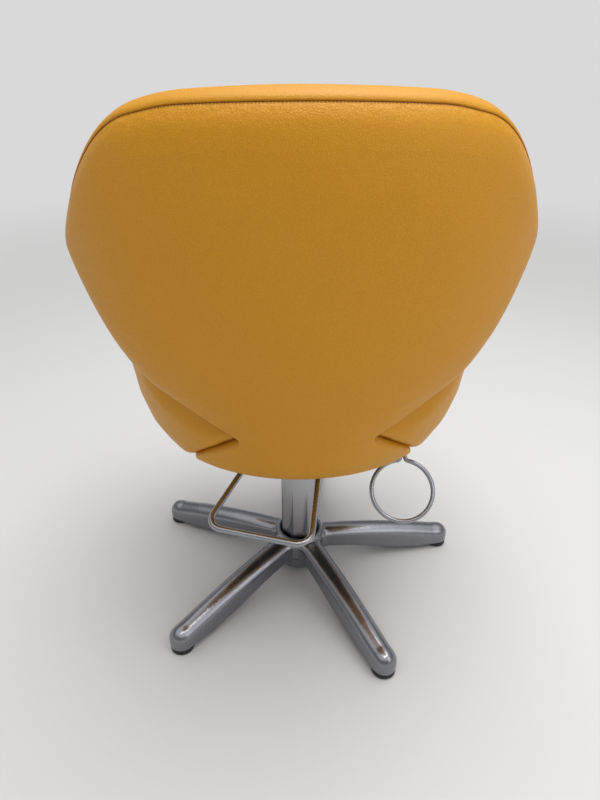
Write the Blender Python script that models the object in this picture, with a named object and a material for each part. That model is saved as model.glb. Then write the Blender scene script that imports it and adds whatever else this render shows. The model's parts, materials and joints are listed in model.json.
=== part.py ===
"""Hydraulic styling chair: upholstered tub seat on a pump column and a five-leg cast base.

Metres, +Z up. The origin lies on the floor under the column and the sitter faces -Y.
Bearings are measured from the chair's rear (+Y) toward its left-hand side (+X).
"""

from math import atan2, cos, pi, radians, sin, sqrt, tan

import bmesh
import bpy
import numpy as np
from mathutils import Matrix, Vector

# Clearances
REST_GAP = 0.0003
RUN_GAP = 0.0003
SEAM_GAP = 0.0009
FIT_GAP = 0.0027
SIDE_GAP = 0.0008
LINING_GAP = 0.0052
SOCKET_CLEARANCE = 0.004
BOLT_TIP_GAP = 0.002

# Base casting
LEG_COUNT = 5
FIRST_LEG_BEARING = radians(46.3)
GLIDE_CIRCLE_RADIUS = 0.295
LEG_WIDTH = 0.0425
LEG_ROOT_FILLET = 0.018
LEG_EDGE_ROUND = 0.006
LEG_WALL = 0.005
LEG_ROOT_TOP = 0.079
LEG_TOE_TOP = 0.045
LEG_ARCH = 0.005
LEG_TOE_CROWN = 0.017
LEG_ROOT_BOTTOM = 0.043
LEG_CROWN = 0.002
LEG_ROOT_BULGE = 0.013
LEG_NECK_BULGE = 0.002
TOE_NOSE_DROP = 0.0206
CHANNEL_ROOT_RADIUS = 0.078
TOE_BLOCK_LENGTH = 0.030
HUB_RIM_TOP = 0.088
HUB_RIM_WIDTH = 0.0085
HUB_RIM_ROUND = 0.002
HUB_ROOT_STEP = 0.001
HUB_FLOOR_TOP = 0.030
HUB_BOTTOM = 0.016
TIE_BOLT_RADIUS = 0.006
TIE_BOLT_HEAD_RADIUS = 0.0105
TIE_BOLT_HEAD_HEIGHT = 0.007
TIE_BOLT_EDGE = 0.001
TIE_BOLT_REACH = 0.014

# Floor glides
GLIDE_RADIUS = 0.0205
GLIDE_HEIGHT = 0.0095
GLIDE_EDGE = 0.002
GLIDE_STEM_RADIUS = 0.004
GLIDE_STEM_LENGTH = 0.018

# Column and pump
COLUMN_FLATS = 8
COLUMN_ACROSS_FLATS = 0.070
COLUMN_CORNER_CHAMFER = 0.0025
COLUMN_WALL = 0.004
CYLINDER_RADIUS = 0.0280
CYLINDER_BORE = 0.0200
CYLINDER_FLOOR = 0.010
CAP_RADIUS = 0.0435
CAP_HEIGHT = 0.005
CAP_EDGE = 0.0015
HEAD_RADIUS = 0.0460
HEAD_DRUM_HEIGHT = 0.0294
HEAD_LUG_RISE = 0.0165
HEAD_NECK_RADIUS = 0.0265
HEAD_EDGE = 0.003

# Lift ram and swivel
RAM_RADIUS = 0.0180
RAM_FOOT = 0.062
RAM_SHOULDER = 0.3278
RAM_EDGE = 0.002
PISTON_HEIGHT = 0.022
SPIGOT_RADIUS = 0.0150
SPIGOT_LENGTH = 0.034
THRUST_WASHER_RADIUS = 0.0260
THRUST_WASHER_HEIGHT = 0.0024

# Foot pump pedal
PEDAL_BEARING = radians(18.3)
PEDAL_SHAFT_REACH = 0.040
PEDAL_SHAFT_HEIGHT = 0.3135
PEDAL_SHAFT_RADIUS = 0.0060
PEDAL_LUG_INNER = 0.0130
PEDAL_LUG_OUTER = 0.0430
PEDAL_LUG_DEPTH = 0.0240
PEDAL_COLLAR_RADIUS = 0.0115
PEDAL_COLLAR_WIDTH = 0.0160
PEDAL_COLLAR_EDGE = 0.0015
STIRRUP_ROD_RADIUS = 0.0050
STIRRUP_BAR_REACH = 0.2400
STIRRUP_BAR_HALF = 0.0840
STIRRUP_BAR_DROP = 0.0470
STIRRUP_BEND = 0.022
CAM_RADIUS = 0.0112
CAM_FINGER_END = 0.0230
CAM_FINGER_DROP = 0.0090
CAM_FINGER_TOP = 0.0018
CAM_FINGER_HALF = 0.0087
PLUNGER_ARM = 0.0150
PLUNGER_RADIUS = 0.0065
PLUNGER_LIFT = 0.011
PLUNGER_DOME = 0.0021
BARREL_RADIUS = 0.0115
BARREL_LENGTH = 0.047
BARREL_FLOOR = 0.005

# Swivel lock lever
LOCK_BEARING = radians(-59.0)
LOCK_PIVOT_REACH = 0.0600
LOCK_PIVOT_HEIGHT = 0.3070
LOCK_PIN_RADIUS = 0.0030
LOCK_HUB_RADIUS = 0.0080
LOCK_HUB_WIDTH = 0.0120
LOCK_EAR_THICKNESS = 0.0060
RING_WIRE_RADIUS = 0.0037
RING_RADIUS = 0.0510
RING_NECK_SPOT = (-0.1710, 0.0900)
RING_NECK_DROP = 0.0050
RING_FALL = Vector((0.090, 0.670, -0.737))
RING_SHANK_LENGTH = 0.020
RING_BEND = 0.012
RING_NECK_GAP = 0.0010
RING_NECK_FILLET = 0.006

# Heights that follow the pedal's shaft
HEAD_TOP = PEDAL_SHAFT_HEIGHT + PEDAL_LUG_DEPTH / 2
HEAD_DRUM_TOP = PEDAL_SHAFT_HEIGHT - HEAD_LUG_RISE
COLUMN_TOP = HEAD_DRUM_TOP - HEAD_DRUM_HEIGHT - CAP_HEIGHT - 2 * REST_GAP
BARREL_FOOT = HEAD_DRUM_TOP - BARREL_LENGTH
PLUNGER_FOOT = BARREL_FOOT + BARREL_FLOOR + PLUNGER_LIFT

# Seat carrier
UNDERSIDE = 0.3350
UNDER_SEAT_GAP = 0.0095
COVER_THICKNESS = 0.003
PLATE_SIZE = 0.200
PLATE_THICKNESS = 0.006
PLATE_BOTTOM = 0.3450
BOARD_THICKNESS = 0.018
BOARD_HALF_WIDTH = 0.168
BOARD_REAR = 0.120
BOARD_FRONT = 0.225
SOCKET_NECK_RADIUS = 0.0300
SOCKET_FLANGE_RADIUS = 0.0500
SOCKET_FLANGE_THICKNESS = 0.0055
SOCKET_ROOF = 0.004
BOLT_SPACING = 0.150
BOLT_RADIUS = 0.0040
BOLT_HEAD_RADIUS = 0.0075
BOLT_HEAD_HEIGHT = 0.0053
BOLT_LENGTH = 0.020
RAIL_HALF_WIDTH = 0.128
RAIL_THICKNESS = 0.018
RAIL_EDGE = 0.005

# Tub sides
TUB_HALF_WIDTH = 0.270
TUB_FLOOR_HALF_WIDTH = 0.195
TUB_SHOULDER = 0.500
TUB_FRONT = 0.330
TUB_FLOOR_FRONT = 0.285
TUB_REAR_INSET = 0.022
TUB_FLOOR_MARGIN = 0.012
TUB_REAR_POWER = 2.2
TUB_FRONT_POWER = 3.2
ARM_THICKNESS = 0.050
ARM_FLARE = 0.080
ARM_TOP_REAR = 0.612
ARM_TOP_FRONT = 0.580
ARM_TOP_TAIL = 0.470
ARM_ROLL = 0.026
ARM_FRONT_ANGLE = radians(-46.0)
ARM_END_ANGLE = radians(5.0)
ARM_END_ROUND = 0.016
ARM_FALL_ANGLE = radians(30.0)
ARM_TAIL_ANGLE = radians(72.0)

# Seat cushion
CUSHION_EDGE_TOP = 0.440
CUSHION_CROWN = 0.466
CUSHION_GAP = 0.0040
CUSHION_FOOT_INSET = 0.014
CUSHION_FOOT_ROUND = 0.010
CUSHION_EDGE_INSET = 0.003
CUSHION_CROWN_INSET = 0.150

# Shield back
BACK_TOP = 0.865
BACK_REACH = 0.309
BACK_REACH_HEIGHT = 0.760
BACK_TOP_LEAN = 0.001
BACK_TIP_HEIGHT = 0.433
BACK_TIP_HALF_WIDTH = 0.100
TIP_ROUND = 0.008
BACK_WIDE_HEIGHT = 0.688
BACK_HALF_WIDTH = 0.3180
BACK_SEAM_INSET = 0.016
EDGE_SEAM_INSET = 0.003
BACK_SEAM_DEPTH = 0.012
REAR_PAD_DEPTH = 0.020
REAR_FACE_INSET = 0.056
REAR_CREST_INSET = 0.032
REAR_DRAFT = 0.0005
REAR_HEM = 0.003
SEAM_EDGE_HEIGHT = 0.480
SEAM_FULL_HEIGHT = 0.620
TAIL_PAD_DEPTH = 0.005
TAIL_END = 0.105
TAIL_THIN_RUN = 0.065
TAIL_HALF_WIDTH = 0.150
TAIL_FULL_HEIGHT = 0.420
TAIL_LIFT = 0.0015
TAIL_BEND_REACH = 0.155
TAIL_BEND_LIFT = 0.0045
FRAME_THICKNESS = 0.012
FRAME_INSET = 0.047
FRONT_PAD_DEPTH = 0.078
FRONT_PAD_FOOT_DEPTH = 0.088
FRONT_PAD_FOOT_TOP = 0.580
BORDER_ROUND = 0.062
BORDER_LIP = 0.004
FOOT_ROUND = 0.019
FOOT_ROUND_TOP = 0.560
STRAP_INNER = 0.024
STRAP_WIDTH = 0.026
STRAP_THICKNESS = 0.005
STRAP_GAP = 0.0008
STRAP_TOP = 0.565
STRAP_TOE = 0.104
STRAP_HEIGHTS = (0.500, 0.455, 0.415)
STRAP_BEND = (0.162, 0.362)
STRAP_BEND_LEAN = radians(65.0)
STRAP_FOOT = 0.152
STRAP_FOOT_LEAN = radians(20.0)
# Rear face's centre line: reach with height
BACK_LINE = ((0.2165, 0.3613), (0.246, 0.425), (0.275, 0.530), (0.297, 0.650))
# Shield edge: half width with run, with part of the way up to the waist tip, with rise above the tip,
# and with drop below the top
TAIL_BELLY = (0.168, 0.030)
TAIL_EDGE = ((0.172, 0.243), (0.150, 0.586))
WING_LOW_EDGE = ((0.165, 0.040), (0.222, 0.071), (0.262, 0.120), (0.294, 0.179))
WING_TOP_EDGE = ((0.295, 0.113), (0.254, 0.053), (0.210, 0.019), (0.150, 0.004))
WRAP_LOW_HEIGHT = 0.400
WRAP_HIGH_HEIGHT = 0.580
WRAP_LOW = (0.225, 0.190)
WRAP_HIGH = (0.335, 0.260)

# Fineness and cutting allowances
CUTTER_REACH = 0.040
CUT_OVERRUN = 0.010
WELD_DISTANCE = 0.00001
SURFACE_STEP = 0.003
WRAP_LIMIT = 0.03
RING_STEPS = 15
NECK_STEPS = 4
ARM_STEPS = 15
ROUND = 24
FINE_ROUND = 16


# Small tools

def smoothstep(low, high, value):
    """Ease from 0 to 1 while value goes from low to high."""
    part = min(1.0, max(0.0, (value - low) / (high - low)))
    return part * part * (3.0 - 2.0 * part)


def mix(first, second, part):
    """Straight blend of two numbers or vectors."""
    return first + (second - first) * part


def bearing_vector(bearing):
    """Level unit vector at a bearing."""
    return Vector((sin(bearing), cos(bearing), 0.0))


def smooth_curve(points, steps):
    """Points of a smooth curve through the given ones, with steps to each span."""
    points = [Vector(point) for point in points]
    ends = [points[0] * 2 - points[1]] + points + [points[-1] * 2 - points[-2]]
    curve = []
    for a, b, c, d in zip(ends, ends[1:], ends[2:], ends[3:]):
        for step in range(steps):
            t = step / steps
            curve.append((b * 2 + (c - a) * t + (a * 2 - b * 5 + c * 4 - d) * t * t
                          + (b * 3 - a - c * 3 + d) * t * t * t) / 2)
    curve.append(points[-1])
    return curve


def material(name, colour, roughness, metallic=0.0):
    """One plain surface for a sub-part."""
    surface = bpy.data.materials.new(name)
    surface.use_nodes = True
    shader = surface.node_tree.nodes["Principled BSDF"]
    shader.inputs["Base Color"].default_value = (*colour, 1.0)
    shader.inputs["Roughness"].default_value = roughness
    shader.inputs["Metallic"].default_value = metallic
    surface.diffuse_color = (*colour, 1.0)
    return surface


def place(name, bm, surface, parent=None, sharp=radians(35.0)):
    """Turn a bmesh into a named object under its body's empty."""
    bmesh.ops.recalc_face_normals(bm, faces=bm.faces)
    mesh = bpy.data.meshes.new(name)
    bm.to_mesh(mesh)
    bm.free()
    mesh.shade_smooth()
    mesh.set_sharp_from_angle(angle=sharp)
    return link(name, mesh, surface, parent)


def link(name, data, surface, parent):
    """Add an object for a mesh or curve to the scene."""
    piece = bpy.data.objects.new(name, data)
    if surface:
        data.materials.append(surface)
    piece.parent = parent
    bpy.context.scene.collection.objects.link(piece)
    return piece


def joint_frame(name, location, bearing=0.0):
    """Empty on a joint axis, with its +Y along a bearing."""
    frame = bpy.data.objects.new(name, None)
    frame.location = location
    frame.rotation_euler = (0.0, 0.0, -bearing)
    bpy.context.scene.collection.objects.link(frame)
    return frame


def combine(piece, tool, operation):
    """Join a tool solid to a piece or cut it out, and keep the tool as a hidden guide."""
    tool.hide_render = True
    tool.display_type = "WIRE"
    change = piece.modifiers.new(tool.name, "BOOLEAN")
    change.operation = operation
    change.object = tool
    change.solver = "EXACT"


def bevel(piece, width, segments=2, angle=radians(40.0)):
    """Round a piece's sharp edges."""
    change = piece.modifiers.new("edges", "BEVEL")
    change.width = width
    change.segments = segments
    change.limit_method = "ANGLE"
    change.angle_limit = angle


# Shapes

def bridge(bm, first, second):
    """Wall of quads between two closed rings of the same count."""
    count = len(first)
    for index in range(count):
        after = (index + 1) % count
        corners = [first[index], first[after], second[after], second[index]]
        unique = list(dict.fromkeys(corners))
        if len(unique) > 2:
            bm.faces.new(unique)


def loft(rings, closed=False):
    """Solid through a row of rings, capped at both ends unless it closes on itself."""
    bm = bmesh.new()
    layers = [[bm.verts.new(point) for point in ring] for ring in rings]
    for first, second in zip(layers, layers[1:]):
        bridge(bm, first, second)
    if closed:
        bridge(bm, layers[-1], layers[0])
    else:
        bm.faces.new(layers[0])
        bm.faces.new(layers[-1])
    return bm


def turned(profile, sides, tube=False):
    """Solid of revolution about Z from (radius, height) points, up its outside."""
    rings = []
    for radius, height in profile:
        turns = (2 * pi * index / sides for index in range(sides))
        rings.append([Vector((radius * cos(turn), radius * sin(turn), height)) for turn in turns])
    return loft(rings, closed=tube)


def cylinder(radius, low, high, sides):
    """Plain upright cylinder."""
    return turned(((radius, low), (radius, high)), sides)


def turn_to_x(bm):
    """Lay an upright shape along X."""
    bmesh.ops.rotate(bm, verts=bm.verts, matrix=Matrix.Rotation(pi / 2, 3, "Y"))
    return bm


def shift(bm, offset):
    """Move every point of a shape."""
    bmesh.ops.translate(bm, verts=bm.verts, vec=offset)
    return bm


def box(low, high):
    """Block between two corners."""
    bm = bmesh.new()
    bmesh.ops.create_cube(bm, size=1.0)
    low = Vector(low)
    size = Vector(high) - low
    bmesh.ops.scale(bm, verts=bm.verts, vec=size)
    return shift(bm, low + size / 2)


def prism(outline, low, high):
    """Upright solid from a plan outline."""
    return loft([[Vector((x, y, height)) for x, y in outline] for height in (low, high)])


def wire(name, points, radius, surface, parent, resolution=2):
    """Round bent rod along a row of points, with flat ends."""
    curve = bpy.data.curves.new(name, "CURVE")
    curve.dimensions = "3D"
    curve.bevel_depth = radius
    curve.bevel_resolution = resolution
    curve.use_fill_caps = True
    spline = curve.splines.new("POLY")
    spline.points.add(len(points) - 1)
    for slot, point in zip(spline.points, points):
        slot.co = (*point, 1.0)
    return link(name, curve, surface, parent)


def rounded_path(corners, radius, steps=6):
    """Straight runs joined by round bends."""
    path = [corners[0]]
    for before, corner, after in zip(corners, corners[1:], corners[2:]):
        back = (before - corner).normalized()
        ahead = (after - corner).normalized()
        half = back.angle(ahead) / 2
        start = corner + back * radius / tan(half)
        centre = corner + (back + ahead).normalized() * radius / sin(half)
        end = corner + ahead * radius / tan(half)
        arm = start - centre
        sweep = arm.angle(end - centre)
        axis = arm.cross(end - centre)
        for step in range(steps + 1):
            path.append(centre + Matrix.Rotation(sweep * step / steps, 3, axis) @ arm)
    path.append(corners[-1])
    return path


# Base casting and glides

def leg_half_width(reach):
    """Half width of a leg at a distance from the axis, with the round root between legs."""
    half = LEG_WIDTH / 2
    spread = pi / LEG_COUNT
    centre = (half + LEG_ROOT_FILLET) / sin(spread)
    centre_reach = centre * cos(spread)
    if reach >= centre_reach:
        return half
    drop = sqrt(LEG_ROOT_FILLET ** 2 - (reach - centre_reach) ** 2)
    return min(centre * sin(spread) - drop, reach * tan(spread))


def leg_rows():
    """Rows of one leg, root to toe: reach, half width, bulge, top height, shares of flat and round top."""
    half = LEG_WIDTH / 2
    spread = pi / LEG_COUNT
    centre = (half + LEG_ROOT_FILLET) / sin(spread)
    valley = (centre - LEG_ROOT_FILLET) * cos(spread)
    straight = centre * cos(spread)
    rows = []
    for part in (0.0, 0.35, 1.0):
        reach = mix(valley, straight, part)
        bulge = mix(LEG_ROOT_BULGE, LEG_NECK_BULGE, part)
        rows.append((reach, leg_half_width(reach), bulge, LEG_ROOT_TOP, 1.0, 0.0))
    toe = GLIDE_CIRCLE_RADIUS
    for part in (0.2, 0.4, 0.6, 0.8, 1.0):
        reach = mix(straight, toe - half / 2, part)
        top = mix(LEG_ROOT_TOP, LEG_TOE_TOP, part) + LEG_ARCH * 4.0 * part * (1.0 - part)
        rows.append((reach, half, 0.0, top, 1.0 - part, part))
    for turn in (0.0, 25.0, 48.0, 68.0, 82.0):
        angle = radians(turn)
        top = LEG_TOE_TOP - LEG_CROWN / 2 - TOE_NOSE_DROP * (1.0 - cos(angle))
        rows.append((toe + half * sin(angle), half * cos(angle), 0.0, top, 0.0, cos(angle)))
    return rows


def leg_bottom(reach):
    """Height of the casting's lower edge."""
    part = smoothstep(LEG_WIDTH, GLIDE_CIRCLE_RADIUS - LEG_WIDTH, reach)
    return mix(LEG_ROOT_BOTTOM, GLIDE_HEIGHT + REST_GAP, part)


ACROSS = (-1.0, -0.92, -0.72, -0.4, 0.0, 0.4, 0.72, 0.92, 1.0)


def base_star(surface):
    """Cast hub and legs as one shell, open below along each leg."""
    bm = bmesh.new()
    bore = column_corner_radius() + REST_GAP
    rim = bore + HUB_RIM_WIDTH
    hub_rings = ((rim, LEG_ROOT_TOP + HUB_ROOT_STEP), (rim, HUB_RIM_TOP - HUB_RIM_ROUND),
                 (rim - HUB_RIM_ROUND, HUB_RIM_TOP), (bore + HUB_RIM_ROUND, HUB_RIM_TOP),
                 (bore, HUB_RIM_TOP - HUB_RIM_ROUND), (bore, HUB_FLOOR_TOP),
                 (TIE_BOLT_RADIUS + REST_GAP, HUB_FLOOR_TOP),
                 (TIE_BOLT_RADIUS + REST_GAP, HUB_BOTTOM), (rim, HUB_BOTTOM), (rim, LEG_ROOT_BOTTOM))
    for leg in range(LEG_COUNT):
        add_leg(bm, FIRST_LEG_BEARING + 2 * pi * leg / LEG_COUNT, hub_rings)
    bmesh.ops.remove_doubles(bm, verts=bm.verts, dist=WELD_DISTANCE)
    star = place("base_star", bm, surface, sharp=radians(50.0))
    for leg in range(LEG_COUNT):
        cut_leg(star, leg)
    return star


def add_leg(bm, bearing, hub_rings):
    """One fifth of the casting: hub wedge, leg top, sides and underside."""
    along = bearing_vector(bearing)
    side = bearing_vector(bearing + pi / 2)
    wedge = pi / LEG_COUNT

    def hub_row(radius, height):
        middle = len(ACROSS) // 2
        turns = (bearing + wedge * index / middle for index in range(-middle, middle + 1))
        return [bm.verts.new(bearing_vector(turn) * radius + Vector((0, 0, height))) for turn in turns]

    def leg_row(row, under):
        reach, half, bulge, top, flat, round_share = row
        points = []
        for part in ACROSS:
            out = reach + bulge * (1.0 - part * part)
            height = leg_bottom(out)
            if not under:
                edge = LEG_EDGE_ROUND * smoothstep(0.45, 1.0, abs(part)) * flat
                dome = LEG_TOE_CROWN * (1.0 - sqrt(1.0 - part * part)) * round_share
                height = top + LEG_CROWN * (1.0 - part * part) - edge - dome
            points.append(bm.verts.new(along * out + side * half * part + Vector((0, 0, height))))
        return points

    rows = leg_rows()
    tops = [leg_row(row, False) for row in rows]
    unders = [leg_row(row, True) for row in rows]
    hubs = [hub_row(*ring) for ring in hub_rings]
    strips = list(reversed(tops)) + hubs + unders
    for first, second in zip(strips, strips[1:]):
        for index in range(len(first) - 1):
            bm.faces.new((first[index], first[index + 1], second[index + 1], second[index]))
    for edge in (0, -1):
        for row in range(len(rows) - 1):
            bm.faces.new((tops[row][edge], tops[row + 1][edge], unders[row + 1][edge], unders[row][edge]))
    for index in range(len(ACROSS) - 1):
        bm.faces.new((tops[-1][index], tops[-1][index + 1], unders[-1][index + 1], unders[-1][index]))


def cut_leg(star, leg):
    """Hollow one leg from below and drill its toe for the glide's stem."""
    bearing = FIRST_LEG_BEARING + 2 * pi * leg / LEG_COUNT
    half = LEG_WIDTH / 2 - LEG_WALL
    toe = GLIDE_CIRCLE_RADIUS - TOE_BLOCK_LENGTH
    rings = []
    for reach, top in ((CHANNEL_ROOT_RADIUS, LEG_ROOT_TOP), (toe, LEG_TOE_TOP)):
        roof = top - LEG_EDGE_ROUND - LEG_WALL
        corners = ((-half, -LEG_WALL), (half, -LEG_WALL), (half, roof), (-half, roof))
        rings.append([Vector((across, reach, height)) for across, height in corners])
    channel = place(f"leg_channel_{leg + 1}", loft(rings), None)
    channel.rotation_euler = (0.0, 0.0, -bearing)
    combine(star, channel, "DIFFERENCE")
    depth = GLIDE_HEIGHT + GLIDE_STEM_LENGTH + REST_GAP
    hole = place(f"stem_hole_{leg + 1}", cylinder(GLIDE_STEM_RADIUS + REST_GAP, 0.0, depth, FINE_ROUND), None)
    hole.location = bearing_vector(bearing) * GLIDE_CIRCLE_RADIUS
    combine(star, hole, "DIFFERENCE")


def foot_glides(surface):
    """Black glide with a stem under each toe."""
    profile = ((GLIDE_RADIUS - GLIDE_EDGE, 0.0), (GLIDE_RADIUS, GLIDE_EDGE),
               (GLIDE_RADIUS, GLIDE_HEIGHT - GLIDE_EDGE), (GLIDE_RADIUS - GLIDE_EDGE, GLIDE_HEIGHT),
               (GLIDE_STEM_RADIUS, GLIDE_HEIGHT), (GLIDE_STEM_RADIUS, GLIDE_HEIGHT + GLIDE_STEM_LENGTH))
    for leg in range(LEG_COUNT):
        bearing = FIRST_LEG_BEARING + 2 * pi * leg / LEG_COUNT
        glide = place(f"foot_glide_{leg + 1}", turned(profile, FINE_ROUND), surface)
        glide.location = bearing_vector(bearing) * GLIDE_CIRCLE_RADIUS


def tie_bolt(surface):
    """Bolt that pulls the pump cylinder down onto the hub floor."""
    head_top = HUB_BOTTOM - REST_GAP
    head_low = head_top - TIE_BOLT_HEAD_HEIGHT
    tip = HUB_FLOOR_TOP + TIE_BOLT_REACH - CYLINDER_FLOOR
    head = TIE_BOLT_HEAD_RADIUS
    profile = ((head - TIE_BOLT_EDGE, head_low), (head, head_low + TIE_BOLT_EDGE), (head, head_top),
               (TIE_BOLT_RADIUS, head_top), (TIE_BOLT_RADIUS, tip))
    return place("base_tie_bolt", turned(profile, FINE_ROUND), surface)


# Column and pump

def column_corner_radius():
    """Radius of the circle that the column's chamfered corners lie on."""
    flat = COLUMN_ACROSS_FLATS / 2
    half_side = flat * tan(pi / COLUMN_FLATS) - COLUMN_CORNER_CHAMFER
    return sqrt(flat ** 2 + half_side ** 2)


def column_sleeve(surface):
    """Polished eight-sided tube round the pump cylinder."""
    flat = COLUMN_ACROSS_FLATS / 2
    half_side = flat * tan(pi / COLUMN_FLATS) - COLUMN_CORNER_CHAMFER
    outer = []
    inner = []
    for face in range(COLUMN_FLATS):
        turn = Matrix.Rotation(2 * pi * face / COLUMN_FLATS, 2)
        for across in (-half_side, half_side):
            outer.append(turn @ Vector((flat, across)))
            inner.append(turn @ Vector((flat - COLUMN_WALL, across * (1.0 - COLUMN_WALL / flat))))
    low = HUB_FLOOR_TOP + REST_GAP
    heights = ((outer, low), (outer, COLUMN_TOP), (inner, COLUMN_TOP), (inner, low))
    rings = [[Vector((x, y, height)) for x, y in loop] for loop, height in heights]
    return place("column_sleeve", loft(rings, closed=True), surface, sharp=radians(20.0))


def pump_cylinder(surface):
    """Inner oil cylinder that stands on the hub floor and guides the ram."""
    low = HUB_FLOOR_TOP + REST_GAP
    thread = TIE_BOLT_RADIUS + REST_GAP
    profile = ((CYLINDER_RADIUS, low), (CYLINDER_RADIUS, COLUMN_TOP), (CYLINDER_BORE, COLUMN_TOP),
               (CYLINDER_BORE, low + CYLINDER_FLOOR), (thread, low + CYLINDER_FLOOR), (thread, low))
    return place("pump_cylinder", turned(profile, ROUND, tube=True), surface)


def column_cap(surface):
    """Black trim ring between the column's top and the pump head."""
    low = COLUMN_TOP + REST_GAP
    bore = RAM_RADIUS + RUN_GAP
    high = low + CAP_HEIGHT
    profile = ((CAP_RADIUS - CAP_EDGE, low), (CAP_RADIUS, low + CAP_EDGE), (CAP_RADIUS, high - CAP_EDGE),
               (CAP_RADIUS - CAP_EDGE, high), (bore, high), (bore, low))
    return place("column_cap", turned(profile, ROUND, tube=True), surface)


def pump_head(surface):
    """Cast head with the pedal's two lugs, the plunger barrel and the lock lever's ears."""
    low = COLUMN_TOP + CAP_HEIGHT + 2 * REST_GAP
    bore = RAM_RADIUS + RUN_GAP
    profile = ((HEAD_RADIUS - HEAD_EDGE, low), (HEAD_RADIUS, low + HEAD_EDGE),
               (HEAD_RADIUS, HEAD_DRUM_TOP - HEAD_EDGE), (HEAD_RADIUS - HEAD_EDGE, HEAD_DRUM_TOP),
               (HEAD_NECK_RADIUS, HEAD_DRUM_TOP), (HEAD_NECK_RADIUS, HEAD_TOP - HEAD_EDGE),
               (HEAD_NECK_RADIUS - HEAD_EDGE, HEAD_TOP), (bore, HEAD_TOP), (bore, low))
    head = place("pump_head", turned(profile, ROUND, tube=True), surface)
    add_pedal_lugs(head)
    add_lock_ears(head)
    return head


def add_pedal_lugs(head):
    """Bearing lugs for the pedal shaft, with the plunger's barrel between them."""
    root = HEAD_DRUM_TOP - HEAD_EDGE
    crown = PEDAL_SHAFT_HEIGHT + PEDAL_LUG_DEPTH / 2
    near = PEDAL_SHAFT_REACH - PEDAL_LUG_DEPTH / 2
    far = PEDAL_SHAFT_REACH + PEDAL_LUG_DEPTH / 2
    tools = []
    for name, start, end in (("left", -PEDAL_LUG_OUTER, -PEDAL_LUG_INNER),
                             ("right", PEDAL_LUG_INNER, PEDAL_LUG_OUTER)):
        block = place(f"pedal_lug_{name}", box((start, near, root), (end, far, crown)), None)
        bevel(block, HEAD_EDGE, 1)
        tools.append((block, "UNION"))
    reach = PEDAL_SHAFT_REACH + PLUNGER_ARM
    barrel_top = HEAD_DRUM_TOP - HEAD_EDGE / 2
    barrel = shift(cylinder(BARREL_RADIUS, BARREL_FOOT, barrel_top, FINE_ROUND), (0, reach, 0))
    tools.append((place("plunger_barrel", barrel, None), "UNION"))
    bore_low = BARREL_FOOT + BARREL_FLOOR
    bore = shift(cylinder(PLUNGER_RADIUS + RUN_GAP, bore_low, HEAD_TOP, FINE_ROUND), (0, reach, 0))
    tools.append((place("plunger_bore", bore, None), "DIFFERENCE"))
    span = PEDAL_LUG_OUTER + HEAD_EDGE
    shaft = turn_to_x(cylinder(PEDAL_SHAFT_RADIUS + RUN_GAP, -span, span, FINE_ROUND))
    shaft = place("pedal_shaft_bore", shift(shaft, (0, PEDAL_SHAFT_REACH, PEDAL_SHAFT_HEIGHT)), None)
    tools.append((shaft, "DIFFERENCE"))
    for tool, operation in tools:
        tool.rotation_euler = (0.0, 0.0, -PEDAL_BEARING)
        combine(head, tool, operation)


def add_lock_ears(head):
    """Two ears that carry the lock lever's pin."""
    inner = LOCK_HUB_WIDTH / 2 + RUN_GAP
    outer = inner + LOCK_EAR_THICKNESS
    far = LOCK_PIVOT_REACH + LOCK_HUB_RADIUS
    near = HEAD_RADIUS - 2 * HEAD_EDGE
    low = min(HEAD_DRUM_TOP - 2 * HEAD_EDGE, LOCK_PIVOT_HEIGHT - 2 * LOCK_HUB_RADIUS)
    high = LOCK_PIVOT_HEIGHT + LOCK_HUB_RADIUS
    for name, start, end in (("left", -outer, -inner), ("right", inner, outer)):
        ear = place(f"lock_ear_{name}", box((start, near, low), (end, far, high)), None)
        bevel(ear, HEAD_EDGE / 2, 1)
        ear.rotation_euler = (0.0, 0.0, -LOCK_BEARING)
        combine(head, ear, "UNION")
    hole = turn_to_x(cylinder(LOCK_PIN_RADIUS + RUN_GAP, -2 * outer, 2 * outer, FINE_ROUND))
    hole = place("lock_pin_hole", shift(hole, (0, LOCK_PIVOT_REACH, LOCK_PIVOT_HEIGHT)), None)
    hole.rotation_euler = (0.0, 0.0, -LOCK_BEARING)
    combine(head, hole, "DIFFERENCE")


# Lift ram

def seat_lift():
    """How far the ram and the seat stand above their drawn heights, to clear what turns below them."""
    highest = max(HEAD_TOP, LOCK_PIVOT_HEIGHT + LOCK_HUB_RADIUS)
    return highest + UNDER_SEAT_GAP - UNDERSIDE


def lift_ram(surface, frame):
    """Ram with its piston below and the seat's spigot above."""
    piston = CYLINDER_BORE - RUN_GAP
    foot = RAM_FOOT - seat_lift()
    piston_top = foot + PISTON_HEIGHT
    tip = RAM_SHOULDER + SPIGOT_LENGTH
    profile = ((piston - RAM_EDGE, foot), (piston, foot + RAM_EDGE), (piston, piston_top),
               (RAM_RADIUS, piston_top), (RAM_RADIUS, RAM_SHOULDER), (SPIGOT_RADIUS, RAM_SHOULDER),
               (SPIGOT_RADIUS, tip - RAM_EDGE), (SPIGOT_RADIUS - RAM_EDGE, tip))
    return place("lift_ram", turned(profile, ROUND), surface, frame)


def thrust_washer(surface, frame):
    """Swivel washer on the ram's shoulder, which carries the seat's socket."""
    low = RAM_SHOULDER + REST_GAP
    bore = SPIGOT_RADIUS + REST_GAP
    profile = ((THRUST_WASHER_RADIUS, low), (THRUST_WASHER_RADIUS, low + THRUST_WASHER_HEIGHT),
               (bore, low + THRUST_WASHER_HEIGHT), (bore, low))
    return place("thrust_washer", turned(profile, ROUND, tube=True), surface, frame)


# Pedal, in its own frame: X along the shaft, +Y out to the stirrup's bar

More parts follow.
